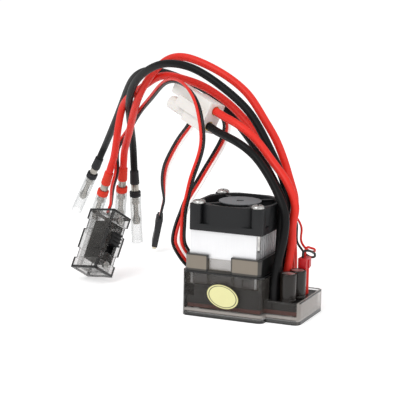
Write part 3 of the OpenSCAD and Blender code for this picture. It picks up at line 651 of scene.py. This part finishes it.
def lathe(name, profile, place, sides=40):
    """Closed shape turned about Z from (radius, height) points in millimetres."""
    verts = []
    faces = []
    for radius, height in profile:
        for k in range(sides):
            angle = 2 * math.pi * k / sides
            verts.append(Vector((radius * math.cos(angle), radius * math.sin(angle), height)) * MM)
    for i in range(len(profile) - 1):
        for k in range(sides):
            a, b = i * sides + k, i * sides + (k + 1) % sides
            faces.append((a, b, b + sides, a + sides))
    if profile[0] != profile[-1]:
        faces.append(tuple(reversed(range(sides))))
        faces.append(tuple(range((len(profile) - 1) * sides, len(profile) * sides)))
    mesh = mesh_from(name, verts, faces)
    work = bmesh.new()
    work.from_mesh(mesh)
    bmesh.ops.remove_doubles(work, verts=work.verts, dist=1e-7)
    bmesh.ops.recalc_face_normals(work, faces=work.faces)
    work.to_mesh(mesh)
    work.free()
    mesh.transform(place)
    return finish_mesh(mesh)


def along(end):
    """Matrix that puts +Z along a lead's end, with its origin at the end."""
    turn = Vector((0, 0, 1)).rotation_difference(Vector(end[1]).normalized())
    return Matrix.Translation(Vector(end[0]) * MM) @ turn.to_matrix().to_4x4()


def tube(name, path, radius, sides=20):
    """Closed tube through the points, with UV run around it and along it."""
    points = [Vector(p) for p in path]
    runs = [(points[min(i + 1, len(points) - 1)] - points[max(i - 1, 0)]).normalized()
            for i in range(len(points))]
    across = runs[0].orthogonal().normalized()
    verts, distance, reached = [], [], 0.0
    for i, (point, run) in enumerate(zip(points, runs)):
        across = (across - run * across.dot(run)).normalized()
        up = run.cross(across)
        reached += (point - points[i - 1]).length if i else 0
        distance.append(reached)
        for k in range(sides):
            angle = 2 * math.pi * k / sides
            verts.append(point + radius * (math.cos(angle) * across + math.sin(angle) * up))
    faces, uvs = [], []
    for i in range(len(points) - 1):
        for k in range(sides):
            a, b = i * sides + k, i * sides + (k + 1) % sides
            faces.append((a, b, b + sides, a + sides))
            low, high = distance[i] / (2 * radius), distance[i + 1] / (2 * radius)
            uvs += [(k / sides, low), ((k + 1) / sides, low), ((k + 1) / sides, high), (k / sides, high)]
    last = (len(points) - 1) * sides
    faces.append(tuple(reversed(range(sides))))
    faces.append(tuple(range(last, last + sides)))
    uvs += [(0.5, 0.0)] * (2 * sides)
    mesh = mesh_from(name, verts, faces)
    layer = mesh.uv_layers.new(name="run")
    for loop, uv in zip(layer.data, uvs):
        loop.uv = uv
    return finish_mesh(mesh, 60)


def joined(name, meshes):
    """One mesh that holds several."""
    work = bmesh.new()
    for mesh in meshes:
        work.from_mesh(mesh)
    mesh = bpy.data.meshes.new(name)
    work.to_mesh(mesh)
    work.free()
    return mesh


def cut(mesh, cutters):
    """The mesh with the cutters' shapes taken out of it."""
    body = bpy.data.objects.new("being cut", mesh)
    bpy.context.scene.collection.objects.link(body)
    tools = []
    for tool_mesh in cutters:
        tool = bpy.data.objects.new("cutter", tool_mesh)
        bpy.context.scene.collection.objects.link(tool)
        modifier = body.modifiers.new("cut", "BOOLEAN")
        modifier.object = tool
        modifier.solver = "EXACT"
        tools.append(tool)
    bpy.context.view_layer.update()
    result = bpy.data.meshes.new_from_object(body.evaluated_get(bpy.context.evaluated_depsgraph_get()))
    for obj in [body] + tools:
        bpy.data.objects.remove(obj)
    return finish_mesh(result)


def block(size, centre=(0, 0, 0), turn=0.0):
    """Box of a size in millimetres, turned about Z."""
    work = bmesh.new()
    bmesh.ops.create_cube(work, size=1)
    mesh = bpy.data.meshes.new("block")
    work.to_mesh(mesh)
    work.free()
    mesh.transform(Matrix.Diagonal((*[s * MM for s in size], 1)))
    mesh.transform(Matrix.Translation(Vector(centre) * MM) @ Matrix.Rotation(turn, 4, "Z"))
    return mesh


# ---- geometry node trees


def copies_tree(name, inputs, points):
    """Tree that copies one object onto points and ends as one painted mesh.

    points adds the nodes that make the points and their turns, from the
    tree, its input node and a function that adds nodes.
    """
    tree = bpy.data.node_groups.new(name, "GeometryNodeTree")
    for label, kind, default in [("Source", "NodeSocketObject", None),
                                 ("Material", "NodeSocketMaterial", None)] + inputs:
        socket = tree.interface.new_socket(label, in_out="INPUT", socket_type=kind)
        if default is not None:
            socket.default_value = default
    tree.interface.new_socket("Geometry", in_out="OUTPUT", socket_type="NodeSocketGeometry")
    given = tree.nodes.new("NodeGroupInput")

    def add(kind, options=None, **links):
        node = tree.nodes.new(kind)
        for key, option in (options or {}).items():
            setattr(node, key, option)
        for key, value in links.items():
            socket = node.inputs[key.replace("_", " ")]
            if isinstance(value, bpy.types.NodeSocket):
                tree.links.new(value, socket)
            else:
                socket.default_value = value
        return node

    where, turn = points(given, add)
    source = add("GeometryNodeObjectInfo", Object=given.outputs["Source"])
    placed = add("GeometryNodeInstanceOnPoints", Points=where, Instance=source.outputs["Geometry"])
    if turn is not None:
        tree.links.new(turn, placed.inputs["Rotation"])
    real = add("GeometryNodeRealizeInstances", Geometry=placed.outputs[0])
    painted = add("GeometryNodeSetMaterial", Geometry=real.outputs[0],
                  Material=given.outputs["Material"])
    out = tree.nodes.new("NodeGroupOutput")
    tree.links.new(painted.outputs[0], out.inputs[0])
    return tree


def ring_points(given, add):
    """Points all at the centre, each turned by its share of a full turn."""
    line = add("GeometryNodeMeshLine", Count=given.outputs["Count"], Offset=(0, 0, 0))
    index = add("GeometryNodeInputIndex")
    share = add("ShaderNodeMath", {"operation": "DIVIDE"})
    tree = share.id_data
    tree.links.new(index.outputs[0], share.inputs[0])
    tree.links.new(given.outputs["Count"], share.inputs[1])
    angle = add("ShaderNodeMath", {"operation": "MULTIPLY"})
    tree.links.new(share.outputs[0], angle.inputs[0])
    angle.inputs[1].default_value = 2 * math.pi
    turn = add("ShaderNodeCombineXYZ", Z=angle.outputs[0])
    return line.outputs[0], turn.outputs[0]


def corner_points(given, add):
    """Points at the four corners of a square."""
    grid = add("GeometryNodeMeshGrid", Size_X=given.outputs["Pitch"],
               Size_Y=given.outputs["Pitch"], Vertices_X=2, Vertices_Y=2)
    return grid.outputs[0], None


def row_points(given, add):
    """Points in a row up Z."""
    step = add("ShaderNodeCombineXYZ", Z=given.outputs["Step"])
    line = add("GeometryNodeMeshLine", Count=given.outputs["Count"], Offset=step.outputs[0])
    return line.outputs[0], None


def copied(tree, source_mesh, material, **values):
    """Plain mesh that the tree makes from the source and these inputs."""
    source = bpy.data.objects.new("source", source_mesh)
    host = bpy.data.objects.new("host", bpy.data.meshes.new("host"))
    for obj in (source, host):
        bpy.context.scene.collection.objects.link(obj)
    modifier = host.modifiers.new("copies", "NODES")
    modifier.node_group = tree
    ids = {item.name: item.identifier for item in tree.interface.items_tree
           if item.item_type == "SOCKET" and item.in_out == "INPUT"}
    modifier[ids["Source"]] = source
    modifier[ids["Material"]] = material
    for label, value in values.items():
        modifier[ids[label]] = value
    bpy.context.view_layer.update()
    mesh = bpy.data.meshes.new_from_object(host.evaluated_get(bpy.context.evaluated_depsgraph_get()))
    for obj in (host, source):
        bpy.data.objects.remove(obj)
    return finish_mesh(mesh)


# ---- places that several pieces share

FAN_AXIS = Vector((-6.1, -1.7, 0)) * MM
FAN_BASE = 33.5
FAN_TOP = 43.5
FAN_PITCH = 24 * MM
CAPACITORS = {"capacitor_front": (17, -9), "capacitor_rear": (18.4, -2.2)}
SWITCH_PLACE = Matrix.Translation(SWITCH_AT * MM) @ turn_matrix(SWITCH_TURN).to_4x4()


def lead_path(route, end_points, steps=8, passes=14):
    """Smooth path of a round lead, in metres."""
    points = eased(smooth([list(p) for p in ROUTES[route] + end_points], steps), passes)
    return [Vector(p[:3]) * MM for p in points]


def strand_path(route, end_points, off):
    """Path of one strand of a flat lead, in metres."""
    middle = eased(smooth([list(p) for p in ROUTES[route] + end_points], 8), 10)
    return [p * MM for p in ribbon_strand(middle, off)]


def length_of(path):
    return sum((b - a).length for a, b in zip(path, path[1:]))


def lead(node, path, diameter, material, slot, sides=20):
    """A free lead, built as a tube along its path."""
    obj = piece(node + "_insulation", tube(node, path, diameter / 2, sides), CASE, slot, material, node)
    round(length_of(path), 3)
    return obj


class CONTROLLER_OT_stage(bpy.types.Operator):
    """Makes the floor, the surrounding light, two soft lamps and the camera"""

    bl_idname = "controller.stage"
    bl_label = "Stage"

    def floor_material(self):
        """Pale floor that reads white, with the object's shadow kept."""
        s = Shade("pale floor")
        matt = s.node("ShaderNodeBsdfDiffuse", None, Color=tone(247, 247, 247))
        glow = s.node("ShaderNodeEmission", None, Color=(1, 1, 1), Strength=0.45)
        lit = s.node("ShaderNodeAddShader", None, matt, glow)
        seen = s.node("ShaderNodeLightPath").socket.node.outputs
        direct = Value(s, seen["Is Camera Ray"]) + Value(s, seen["Is Glossy Ray"])
        direct = (direct + Value(s, seen["Is Transmission Ray"])).limited()
        mixed = s.node("ShaderNodeMixShader", None, direct, matt, lit)
        s.node("ShaderNodeOutputMaterial", None, mixed)
        return s.material

    def surround(self, strength):
        """World that lights evenly and is seen as white."""
        world = bpy.data.worlds.new("soft surround")
        bpy.context.scene.world = world
        world.use_nodes = True
        tree = world.node_tree
        tree.nodes.clear()
        even = tree.nodes.new("ShaderNodeBackground")
        even.inputs["Strength"].default_value = strength
        white = tree.nodes.new("ShaderNodeBackground")
        for shader in (even, white):
            shader.inputs["Color"].default_value = (1, 1, 1, 1)
        path = tree.nodes.new("ShaderNodeLightPath")
        mix = tree.nodes.new("ShaderNodeMixShader")
        out = tree.nodes.new("ShaderNodeOutputWorld")
        tree.links.new(path.outputs["Is Camera Ray"], mix.inputs[0])
        tree.links.new(even.outputs[0], mix.inputs[1])
        tree.links.new(white.outputs[0], mix.inputs[2])
        tree.links.new(mix.outputs[0], out.inputs[0])

    def lamp(self, name, place, power, size, aim=(-0.02, 0.01, 0.04)):
        data = bpy.data.lights.new(name, "AREA")
        data.energy = power
        data.shape = "DISK"
        data.size = size
        obj = bpy.data.objects.new(name, data)
        obj.location = place
        obj.rotation_euler = (Vector(place) - Vector(aim)).to_track_quat("Z", "Y").to_euler()
        bpy.context.scene.collection.objects.link(obj)

    def camera(self, lens):
        """Camera at the three-quarter view from the front right."""
        yaw, rise, roll = (math.radians(a) for a in (23.06, 10.99, 0.95))
        back = Vector((math.sin(yaw) * math.cos(rise), -math.cos(yaw) * math.cos(rise), math.sin(rise)))
        level = Vector((math.cos(yaw), math.sin(yaw), 0))
        lift = back.cross(level)
        right = level * math.cos(roll) + lift * math.sin(roll)
        up = lift * math.cos(roll) - level * math.sin(roll)
        target = Vector((-22.55, -2.5, 42.24)) * MM
        data = bpy.data.cameras.new("camera")
        data.lens = lens
        data.sensor_width = 36
        data.clip_start = 0.01
        obj = bpy.data.objects.new("camera", data)
        turn = Matrix((right, up, back)).transposed()
        obj.matrix_world = Matrix.Translation(target + back * 0.6531) @ turn.to_4x4()
        bpy.context.scene.collection.objects.link(obj)
        bpy.context.scene.camera = obj

    def execute(self, context):
        chosen = settings().stage
        half = 6.0
        mesh = mesh_from("floor", [(-half, -half, 0), (half, -half, 0), (half, half, 0), (-half, half, 0)],
                         [(0, 1, 2, 3)])
        floor = bpy.data.objects.new("floor", mesh)
        bpy.context.scene.collection.objects.link(floor)
        mesh.materials.append(self.floor_material())
        self.surround(chosen.surround)
        self.lamp("key", (-0.25, -0.75, 0.85), chosen.key, 0.7)
        self.lamp("fill", (0.8, -0.35, 0.5), chosen.key * 0.4, 0.9)
        self.camera(chosen.lens)
        context.scene.view_settings.view_transform = "Standard"
        return {"FINISHED"}


class CONTROLLER_OT_case(bpy.types.Operator):
    """Finishes the clear case, its cover, the board, the cast resin and the sticker"""

    bl_idname = "controller.case"
    bl_label = "Case"

    def execute(self, context):
        chosen = settings().case
        low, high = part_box("lower_case")
        # Painted edge shade: dark bands along the bottom, the top and the -X end of the lower case.
        painted_edge_shade = [(2, low[2] - MM, low[2] + 1.5 * MM), (2, high[2] - 0.5 * MM, high[2] + MM),
                      (0, low[0] - MM, low[0] + 1.1 * MM)]
        # Painted light: the +X end and a low band read pale, as if light came through from behind.
        lit = [(0, high[0] - 1.1 * MM, high[0] + MM), (2, 1.9 * MM, 3.1 * MM)]
        upright = (0, 0, 0)
        # The edges of the tub and tray boxes get painted dark shade.
        tub = (upright, upright, low, (TUB_END, high[1], high[2]), 0.7 * MM)
        tray = (upright, upright, (low[0], -TRAY_HALF, low[2]), (high[0], TRAY_HALF, TRAY_TOP), 0.4 * MM)
        case = clear_plastic("smoky case", chosen.face, chosen.edge, 0.07, painted_edge_shade, pale=lit,
                             shade_outlines=[tub, tray])
        piece("lower_case_shell", softened("lower_case", 0.3 * MM), CASE, "case", case, "lower_case")
        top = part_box("upper_cover")[1][2]
        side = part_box("upper_cover")[1][0]
        # Painted shade on the cover: dark bands along its top and lower rim, along its +X side as if that
        # side lay in shadow, and at the two window edges.
        cover = clear_plastic("smoky cover", chosen.cover, chosen.edge, 0.17,
                              [(2, top - 0.5 * MM, top + MM), (2, high[2] - 0.2 * MM, high[2] + 0.9 * MM),
                               (0, side - 1.3 * MM, side + MM),
                               (0, COVER_WINDOW[0] - 0.5 * MM, COVER_WINDOW[0] + 0.1 * MM),
                               (0, COVER_WINDOW[1] - 0.1 * MM, COVER_WINDOW[1] + 0.5 * MM)],
                              rough=0.26, frosted=high[2], window=COVER_WINDOW)
        piece("upper_cover_shell", softened("upper_cover", 0.3 * MM), CASE, "cover", cover, "upper_cover")
        paint(laminate(), "circuit_board")
        paint(resin(), "potting")
        paint(moulded("chip resin", tone(40, 40, 42), rough=0.5), "mosfets", "controller_chip")
        paint(moulded("soft pad", tone(178, 186, 194), rough=0.7), "thermal_pad")
        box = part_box("sticker")
        centre = [(a + b) / 2 for a, b in zip(*box)]
        paint(paper_oval(chosen.sticker, centre, math.radians(14), (6.5 * MM, 4.5 * MM)), "sticker")
        return {"FINISHED"}


class CONTROLLER_OT_heat_sink(bpy.types.Operator):
    """Finishes the finned heat sink"""

    bl_idname = "controller.heat_sink"
    bl_label = "Heat sink"

    def execute(self, context):
        piece("heat_sink_fins", softened("heat_sink", 0.1 * MM), CASE, "heat_sink",
              brushed_aluminium(*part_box("heat_sink")), "heat_sink")
        return {"FINISHED"}


class CONTROLLER_OT_fan(bpy.types.Operator):
    """Builds the fan: its frame, bladed rotor, hub label, motor and four screws"""

    bl_idname = "controller.fan"
    bl_label = "Fan"

    def blade(self, hub):
        """One curved blade, from inside the hub to near the duct."""
        spans, chords = 6, 9
        verts = []
        for i in range(spans):
            share = i / (spans - 1)
            radius = hub - 0.4 * MM + share * 5.4 * MM
            for j in range(chords):
                t = j / (chords - 1) - 0.5
                angle = t * (0.66 + 0.12 * share) + 0.16 * share
                rise = t * 5.6 + 0.8 * (1 - 4 * t * t)
                verts.append((radius * math.cos(angle), radius * math.sin(angle),
                              (FAN_BASE + 3.9 + rise) * MM))
        faces = [(i * chords + j, i * chords + j + 1, (i + 1) * chords + j + 1, (i + 1) * chords + j)
                 for i in range(spans - 1) for j in range(chords - 1)]
        mesh = mesh_from("blade", verts, faces)
        work = bmesh.new()
        work.from_mesh(mesh)
        bmesh.ops.recalc_face_normals(work, faces=work.faces)
        bmesh.ops.solidify(work, geom=work.faces[:], thickness=0.6 * MM)
        bmesh.ops.recalc_face_normals(work, faces=work.faces)
        work.to_mesh(mesh)
        work.free()
        return mesh

    def rotor(self, chosen, plastic):
        tree = copies_tree("ring of blades", [("Count", "NodeSocketInt", 7)], ring_points)
        blades = copied(tree, self.blade(chosen.hub), plastic, Count=chosen.blades)
        radius = chosen.hub / MM
        hub = lathe("hub", [
            (radius - 0.8, FAN_BASE + 7.7), (radius - 0.8, FAN_BASE + 1.5), (0.8, FAN_BASE + 1.5),
            (0.8, FAN_BASE + 0.7), (radius - 0.6, FAN_BASE + 0.7), (radius - 0.15, FAN_BASE + 0.85),
            (radius, FAN_BASE + 1.3), (radius, FAN_BASE + 7.6), (radius - 0.1, FAN_BASE + 7.7),
            (radius - 0.8, FAN_BASE + 7.7)], Matrix.Identity(4), 64)
        mesh = joined("rotor", [blades, hub])
        mesh.transform(Matrix.Translation(FAN_AXIS))
        piece("fan_rotor_blades", finish_mesh(mesh), ROTOR, "fan_plastic", plastic, "fan_rotor")

    def screws(self):
        steel = plated("zinc plated steel", tone(214, 213, 210), 0.22)
        head = lathe("screw", [
            (1.25, FAN_BASE - 6), (1.25, FAN_TOP - 0.02), (2.35, FAN_TOP), (2.5, FAN_TOP + 0.12),
            (2.48, FAN_TOP + 0.5), (2.25, FAN_TOP + 0.95), (1.75, FAN_TOP + 1.25),
            (1.05, FAN_TOP + 1.38), (0.4, FAN_TOP + 1.4)], Matrix.Identity(4), 32)
        slots = [block((2.9, 0.55, 1.3), (0, 0, FAN_TOP + 1.3), math.radians(a)) for a in (22, 112)]
        tree = copies_tree("corner screws", [("Pitch", "NodeSocketFloat", FAN_PITCH)], corner_points)
        mesh = copied(tree, cut(head, slots), steel, Pitch=FAN_PITCH)
        mesh.transform(Matrix.Translation(FAN_AXIS))
        piece("fan_corner_screws", mesh, CASE, "steel", steel, "fan_screws")

    def execute(self, context):
        chosen = settings().fan
        plastic = moulded("fan moulding", chosen.plastic, rough=0.4, gloss=0.35)
        piece("fan_frame_moulding", softened("fan_frame", 0.28 * MM), CASE, "fan_plastic",
              plastic, "fan_frame")
        self.rotor(chosen, plastic)
        self.screws()
        paint(moulded("grey hub label", tone(128, 130, 133), rough=0.5, grain=2600), "fan_label")
        paint(plated("shaft steel", tone(220, 220, 222)), "fan_shaft")
        paint(plated("bearing bronze", tone(190, 140, 80)), "fan_bearing")
        paint(moulded("bonded magnet", tone(52, 50, 48)), "fan_magnet_ring")
        paint(plated("enamelled copper", tone(196, 112, 66), 0.3), "fan_stator")
        paint(moulded("green board", tone(40, 96, 62)), "fan_circuit_board")
        return {"FINISHED"}


class CONTROLLER_OT_capacitors(bpy.types.Operator):
    """Builds the two capacitors with their vented tops"""

    bl_idname = "controller.capacitors"
    bl_label = "Capacitors"

    def execute(self, context):
        sleeve = shrink_sleeve()
        metal = plated("etched can top", tone(214, 214, 212), 0.3)
        for node, (x, y) in CAPACITORS.items():
            low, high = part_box(node)
            foot, top = 7.9, high[2] / MM
            place = Matrix.Translation(Vector((x, y, 0)) * MM)
            skin = lathe(node, [
                (3.0, foot), (3.12, foot + 0.12), (3.15, foot + 0.5), (3.15, foot + 0.9),
                (3.02, foot + 1.25), (3.15, foot + 1.6), (3.15, top - 0.6), (3.08, top - 0.25),
                (2.9, top - 0.06), (2.65, top), (2.5, top - 0.1), (2.48, top - 0.35)], place)
            piece(node + "_sleeve", skin, CASE, "capacitor", sleeve, node)
            lid = lathe("lid", [(2.47, top - 0.5), (2.47, top - 0.2), (2.3, top - 0.12)], Matrix.Identity(4))
            grooves = [block((4.4, 0.26, 0.3), (0, 0, top - 0.12), math.radians(a)) for a in (25, 115)]
            lid = cut(lid, grooves)
            lid.transform(place)
            piece(node + "_top", lid, CASE, "terminal", metal)
        return {"FINISHED"}


class CONTROLLER_OT_fan_plug(bpy.types.Operator):
    """Builds the fan's plug, its two stiff leads and its looped wires"""

    bl_idname = "controller.fan_plug"
    bl_label = "Fan plug and wires"

    def execute(self, context):
        chosen = settings().leads
        red = vinyl("red vinyl", chosen.red)
        black = vinyl("black vinyl", chosen.black)
        plug = piece("fan_plug_housing", softened("fan_plug", 0.22 * MM), CASE, "fan_plug",
                     moulded("red housing", tone(206, 24, 32), rough=0.28, gloss=0.5), "fan_plug")
        paint(red, "fan_plug_leads")
        for node, material, slot in (("fan_lead_red", red, "lead_red"),
                                     ("fan_lead_black", black, "lead_black")):
            path = lead_path(node, [], 8, 9)
            lead(node, path, chosen.fine, material, slot, 12)
        return {"FINISHED"}


class CONTROLLER_OT_power_leads(bpy.types.Operator):
    """Builds the four motor leads with their bullet plugs, and the battery leads"""

    bl_idname = "controller.power_leads"
    bl_label = "Power leads"

    def plug(self, tag, end, rubber, slot, metal, clear):
        """Boot, ring, slotted bullet and clear sleeve on one lead."""
        place = along(end)
        boot = lathe("boot", [
            (1.66, -1.0), (1.86, -0.98), (1.98, -0.75), (2.0, 0.2), (2.02, 1.6), (2.1, 3.4),
            (2.13, 4.8), (2.08, 5.2), (1.9, 5.38), (1.36, 5.38)], place)
        ring = lathe("ring", [
            (1.53, 8.6), (2.3, 8.6), (2.52, 8.75), (2.55, 9.0), (2.55, 9.6), (2.42, 9.75),
            (2.42, 9.95), (2.55, 10.1), (2.55, 10.9), (2.48, 11.12), (2.3, 11.2), (1.53, 11.2),
            (1.53, 8.6)], place)
        boot_piece = piece(f"boot_{tag}_rubber", finish_mesh(joined("boot", [boot, ring])), CASE,
                           slot, rubber, "boot_" + tag)
        bullet = piece(f"terminal_{tag}_bullet", softened("terminal_" + tag, 0.06 * MM), CASE,
                       "terminal", metal, "terminal_" + tag)
        skin = lathe("sleeve", [
            (1.56, 11.22), (2.3, 11.22), (2.52, 11.4), (2.55, 11.8), (2.55, 32.4), (2.5, 32.58),
            (2.3, 32.6), (2.16, 32.5), (2.15, 32.3), (2.15, 12.4), (1.56, 12.2), (1.56, 11.22)], place)
        sleeve = piece(f"sleeve_{tag}_tube", skin, CASE, "sleeve", clear, "sleeve_" + tag)
        return [boot_piece, bullet, sleeve]

    def execute(self, context):
        chosen = settings().leads
        insulation = {"red": silicone("red silicone", chosen.red, 0.35),
                      "black": silicone("black silicone", chosen.black, 0.16)}
        rubber = {"red": moulded("red boot rubber", tone(240, 62, 40), rough=0.45, grain=900),
                  "black": moulded("black boot rubber", tone(34, 34, 37), rough=0.45, grain=900)}
        metal = plated("nickel plate", tone(168, 164, 156), 0.16)
        clear = clear_plastic("clear sleeve", tone(236, 238, 238), tone(184, 187, 188), 0.12, rough=0.12)
        for tag, end in (("red_a", END_RED_A), ("red_b", END_RED_B),
                         ("black_a", END_BLACK_A), ("black_b", END_BLACK_B)):
            colour = tag.split("_")[0]
            on_it = self.plug(tag, end, rubber[colour], "boot_" + colour, metal, clear)
            path = lead_path(f"motor_{tag}", run_in(end))
            lead(f"motor_lead_{tag}", path, chosen.heavy, insulation[colour], "lead_" + colour,
                 24)
        housing = piece("battery_connector_housing", softened("battery_connector", 0.35 * MM), CASE,
                        "connector", nylon("white nylon", tone(255, 250, 245)), "battery_connector")
        paint(plated("gold flashed brass", tone(214, 178, 104)), "battery_sockets")
        for colour, side in (("red", -1), ("black", 1)):
            path = lead_path("battery_" + colour, connector_run_in(side))
            lead("battery_lead_" + colour, path, chosen.heavy, insulation[colour], "lead_" + colour,
                 24)
        return {"FINISHED"}


class CONTROLLER_OT_switch(bpy.types.Operator):
    """Builds the slide switch: two smoky halves, the body, its knob and screws"""

    bl_idname = "controller.switch"
    bl_label = "Switch"

    def screws(self):
        steel = plated("switch screw steel", tone(176, 175, 172), 0.24)
        to_x = Matrix.Rotation(math.pi / 2, 4, "Y")
        head = lathe("screw", [(1.0, -1.4), (1.0, -0.02), (1.5, 0), (1.6, 0.12), (1.55, 0.35),
                               (1.2, 0.6), (0.5, 0.7)], Matrix.Identity(4), 28)
        head = cut(head, [block((2.0, 0.4, 0.8), (0, 0, 0.65), math.radians(a)) for a in (30, 120)])
        head.transform(Matrix.Translation(Vector((0, 5.35, 3.4)) * MM) @ to_x)
        tree = copies_tree("row of screws", [("Count", "NodeSocketInt", 2),
                                             ("Step", "NodeSocketFloat", 19.8 * MM)], row_points)
        mesh = copied(tree, head, steel, Count=2, Step=19.8 * MM)
        mesh.transform(SWITCH_PLACE)
        return piece("switch_case_screws", mesh, CASE, "steel", steel, "switch_screws")

    def execute(self, context):
        chosen = settings()
        turn = [math.radians(a) for a in SWITCH_TURN]
        # The edges of the switch shell's box get painted dark shade in the dark edge tint.
        shell = ([c * MM for c in SWITCH_AT], turn, (-14.4 * MM, 0, 0), (0, 10.7 * MM, 26.6 * MM), MM)
        smoky = clear_plastic("smoky switch shell", tone(120, 117, 113), tone(22, 22, 23), 0.13, rough=0.1,
                              shade_outlines=[shell])
        black = moulded("black switch moulding", tone(16, 16, 18), rough=0.36, gloss=0.4)
        parts = [piece("switch_front_half", softened("switch_front_shell", 0.35 * MM), CASE,
                       "switch_shell", smoky, "switch_front_shell"),
                 piece("switch_rear_half", softened("switch_rear_shell", 0.35 * MM), CASE,
                       "switch_shell", smoky, "switch_rear_shell"),
                 piece("switch_inner_body", softened("switch_body", 0.2 * MM), CASE,
                       "switch_black", black, "switch_body"), self.screws()]
        knob = piece("switch_knob_ribbed", softened("switch_slider", 0.12 * MM), KNOB,
                     "switch_black", black, "switch_slider")
        paint(plated("tinned tag", tone(200, 194, 178)), "switch_tags")
        leads = chosen.leads
        for node, off, colour, slot in (("switch_lead_red", -0.6, leads.red, "lead_red"),
                                        ("switch_lead_black", 0.6, leads.black, "lead_black")):
            path = strand_path("switch", switch_run_in(), off)
            lead(node, path, leads.thin, vinyl(slot + " strand", colour), slot,
                 12)
        return {"FINISHED"}


class CONTROLLER_OT_receiver_lead(bpy.types.Operator):
    """Builds the three-strand receiver lead and its flat plug"""

    bl_idname = "controller.receiver_lead"
    bl_label = "Receiver lead"

    def execute(self, context):
        chosen = settings().leads
        plug = piece("receiver_plug_housing", softened("receiver_plug", 0.25 * MM), CASE,
                     "plug_black", moulded("black plug", tone(30, 30, 33), rough=0.38, gloss=0.4),
                     "receiver_plug")
        paint(plated("tinned contact", tone(206, 198, 176)), "receiver_contacts")
        for node, off, colour, slot in (
                ("receiver_lead_black", -1.2, chosen.black, "lead_black"),
                ("receiver_lead_red", 0, chosen.red, "lead_red"),
                ("receiver_lead_white", 1.2, chosen.white, "lead_white")):
            path = strand_path("receiver", plug_run_in(), off)
            # The white strand gets a small painted glow, an emission of its own, that lifts it towards
            # white.
            lead(node, path, chosen.thin, vinyl(slot + " ribbon", colour, 0.3 * (off > 1)), slot,
                 12)
        return {"FINISHED"}


STEPS = (CONTROLLER_OT_stage, CONTROLLER_OT_power_leads, CONTROLLER_OT_fan_plug,
         CONTROLLER_OT_switch, CONTROLLER_OT_receiver_lead, CONTROLLER_OT_case,
         CONTROLLER_OT_heat_sink, CONTROLLER_OT_fan, CONTROLLER_OT_capacitors)


class CONTROLLER_PT_panel(bpy.types.Panel):
    """Lists the steps and the settings that they read"""

    bl_label = "Speed controller"
    bl_idname = "CONTROLLER_PT_panel"
    bl_space_type = "VIEW_3D"
    bl_region_type = "UI"
    bl_category = "Controller"

    def draw(self, context):
        chosen = context.scene.controller
        for group in (chosen.leads, chosen.case, chosen.fan, chosen.stage):
            box = self.layout.box()
            for name in group.__annotations__:
                box.prop(group, name)
        for step in STEPS:
            self.layout.operator(step.bl_idname)


CLASSES = (LeadSettings, CaseSettings, FanSettings, StageSettings, ControllerSettings,
           *STEPS, CONTROLLER_PT_panel)


def register():
    for cls in CLASSES:
        bpy.utils.register_class(cls)
    bpy.types.Scene.controller = bpy.props.PointerProperty(type=ControllerSettings)


def unregister():
    del bpy.types.Scene.controller
    for cls in reversed(CLASSES):
        bpy.utils.unregister_class(cls)


def main():
    register()
    for step in STEPS:
        getattr(bpy.ops.controller, step.bl_idname.split(".")[1])()


if __name__ == "__main__":
    main()
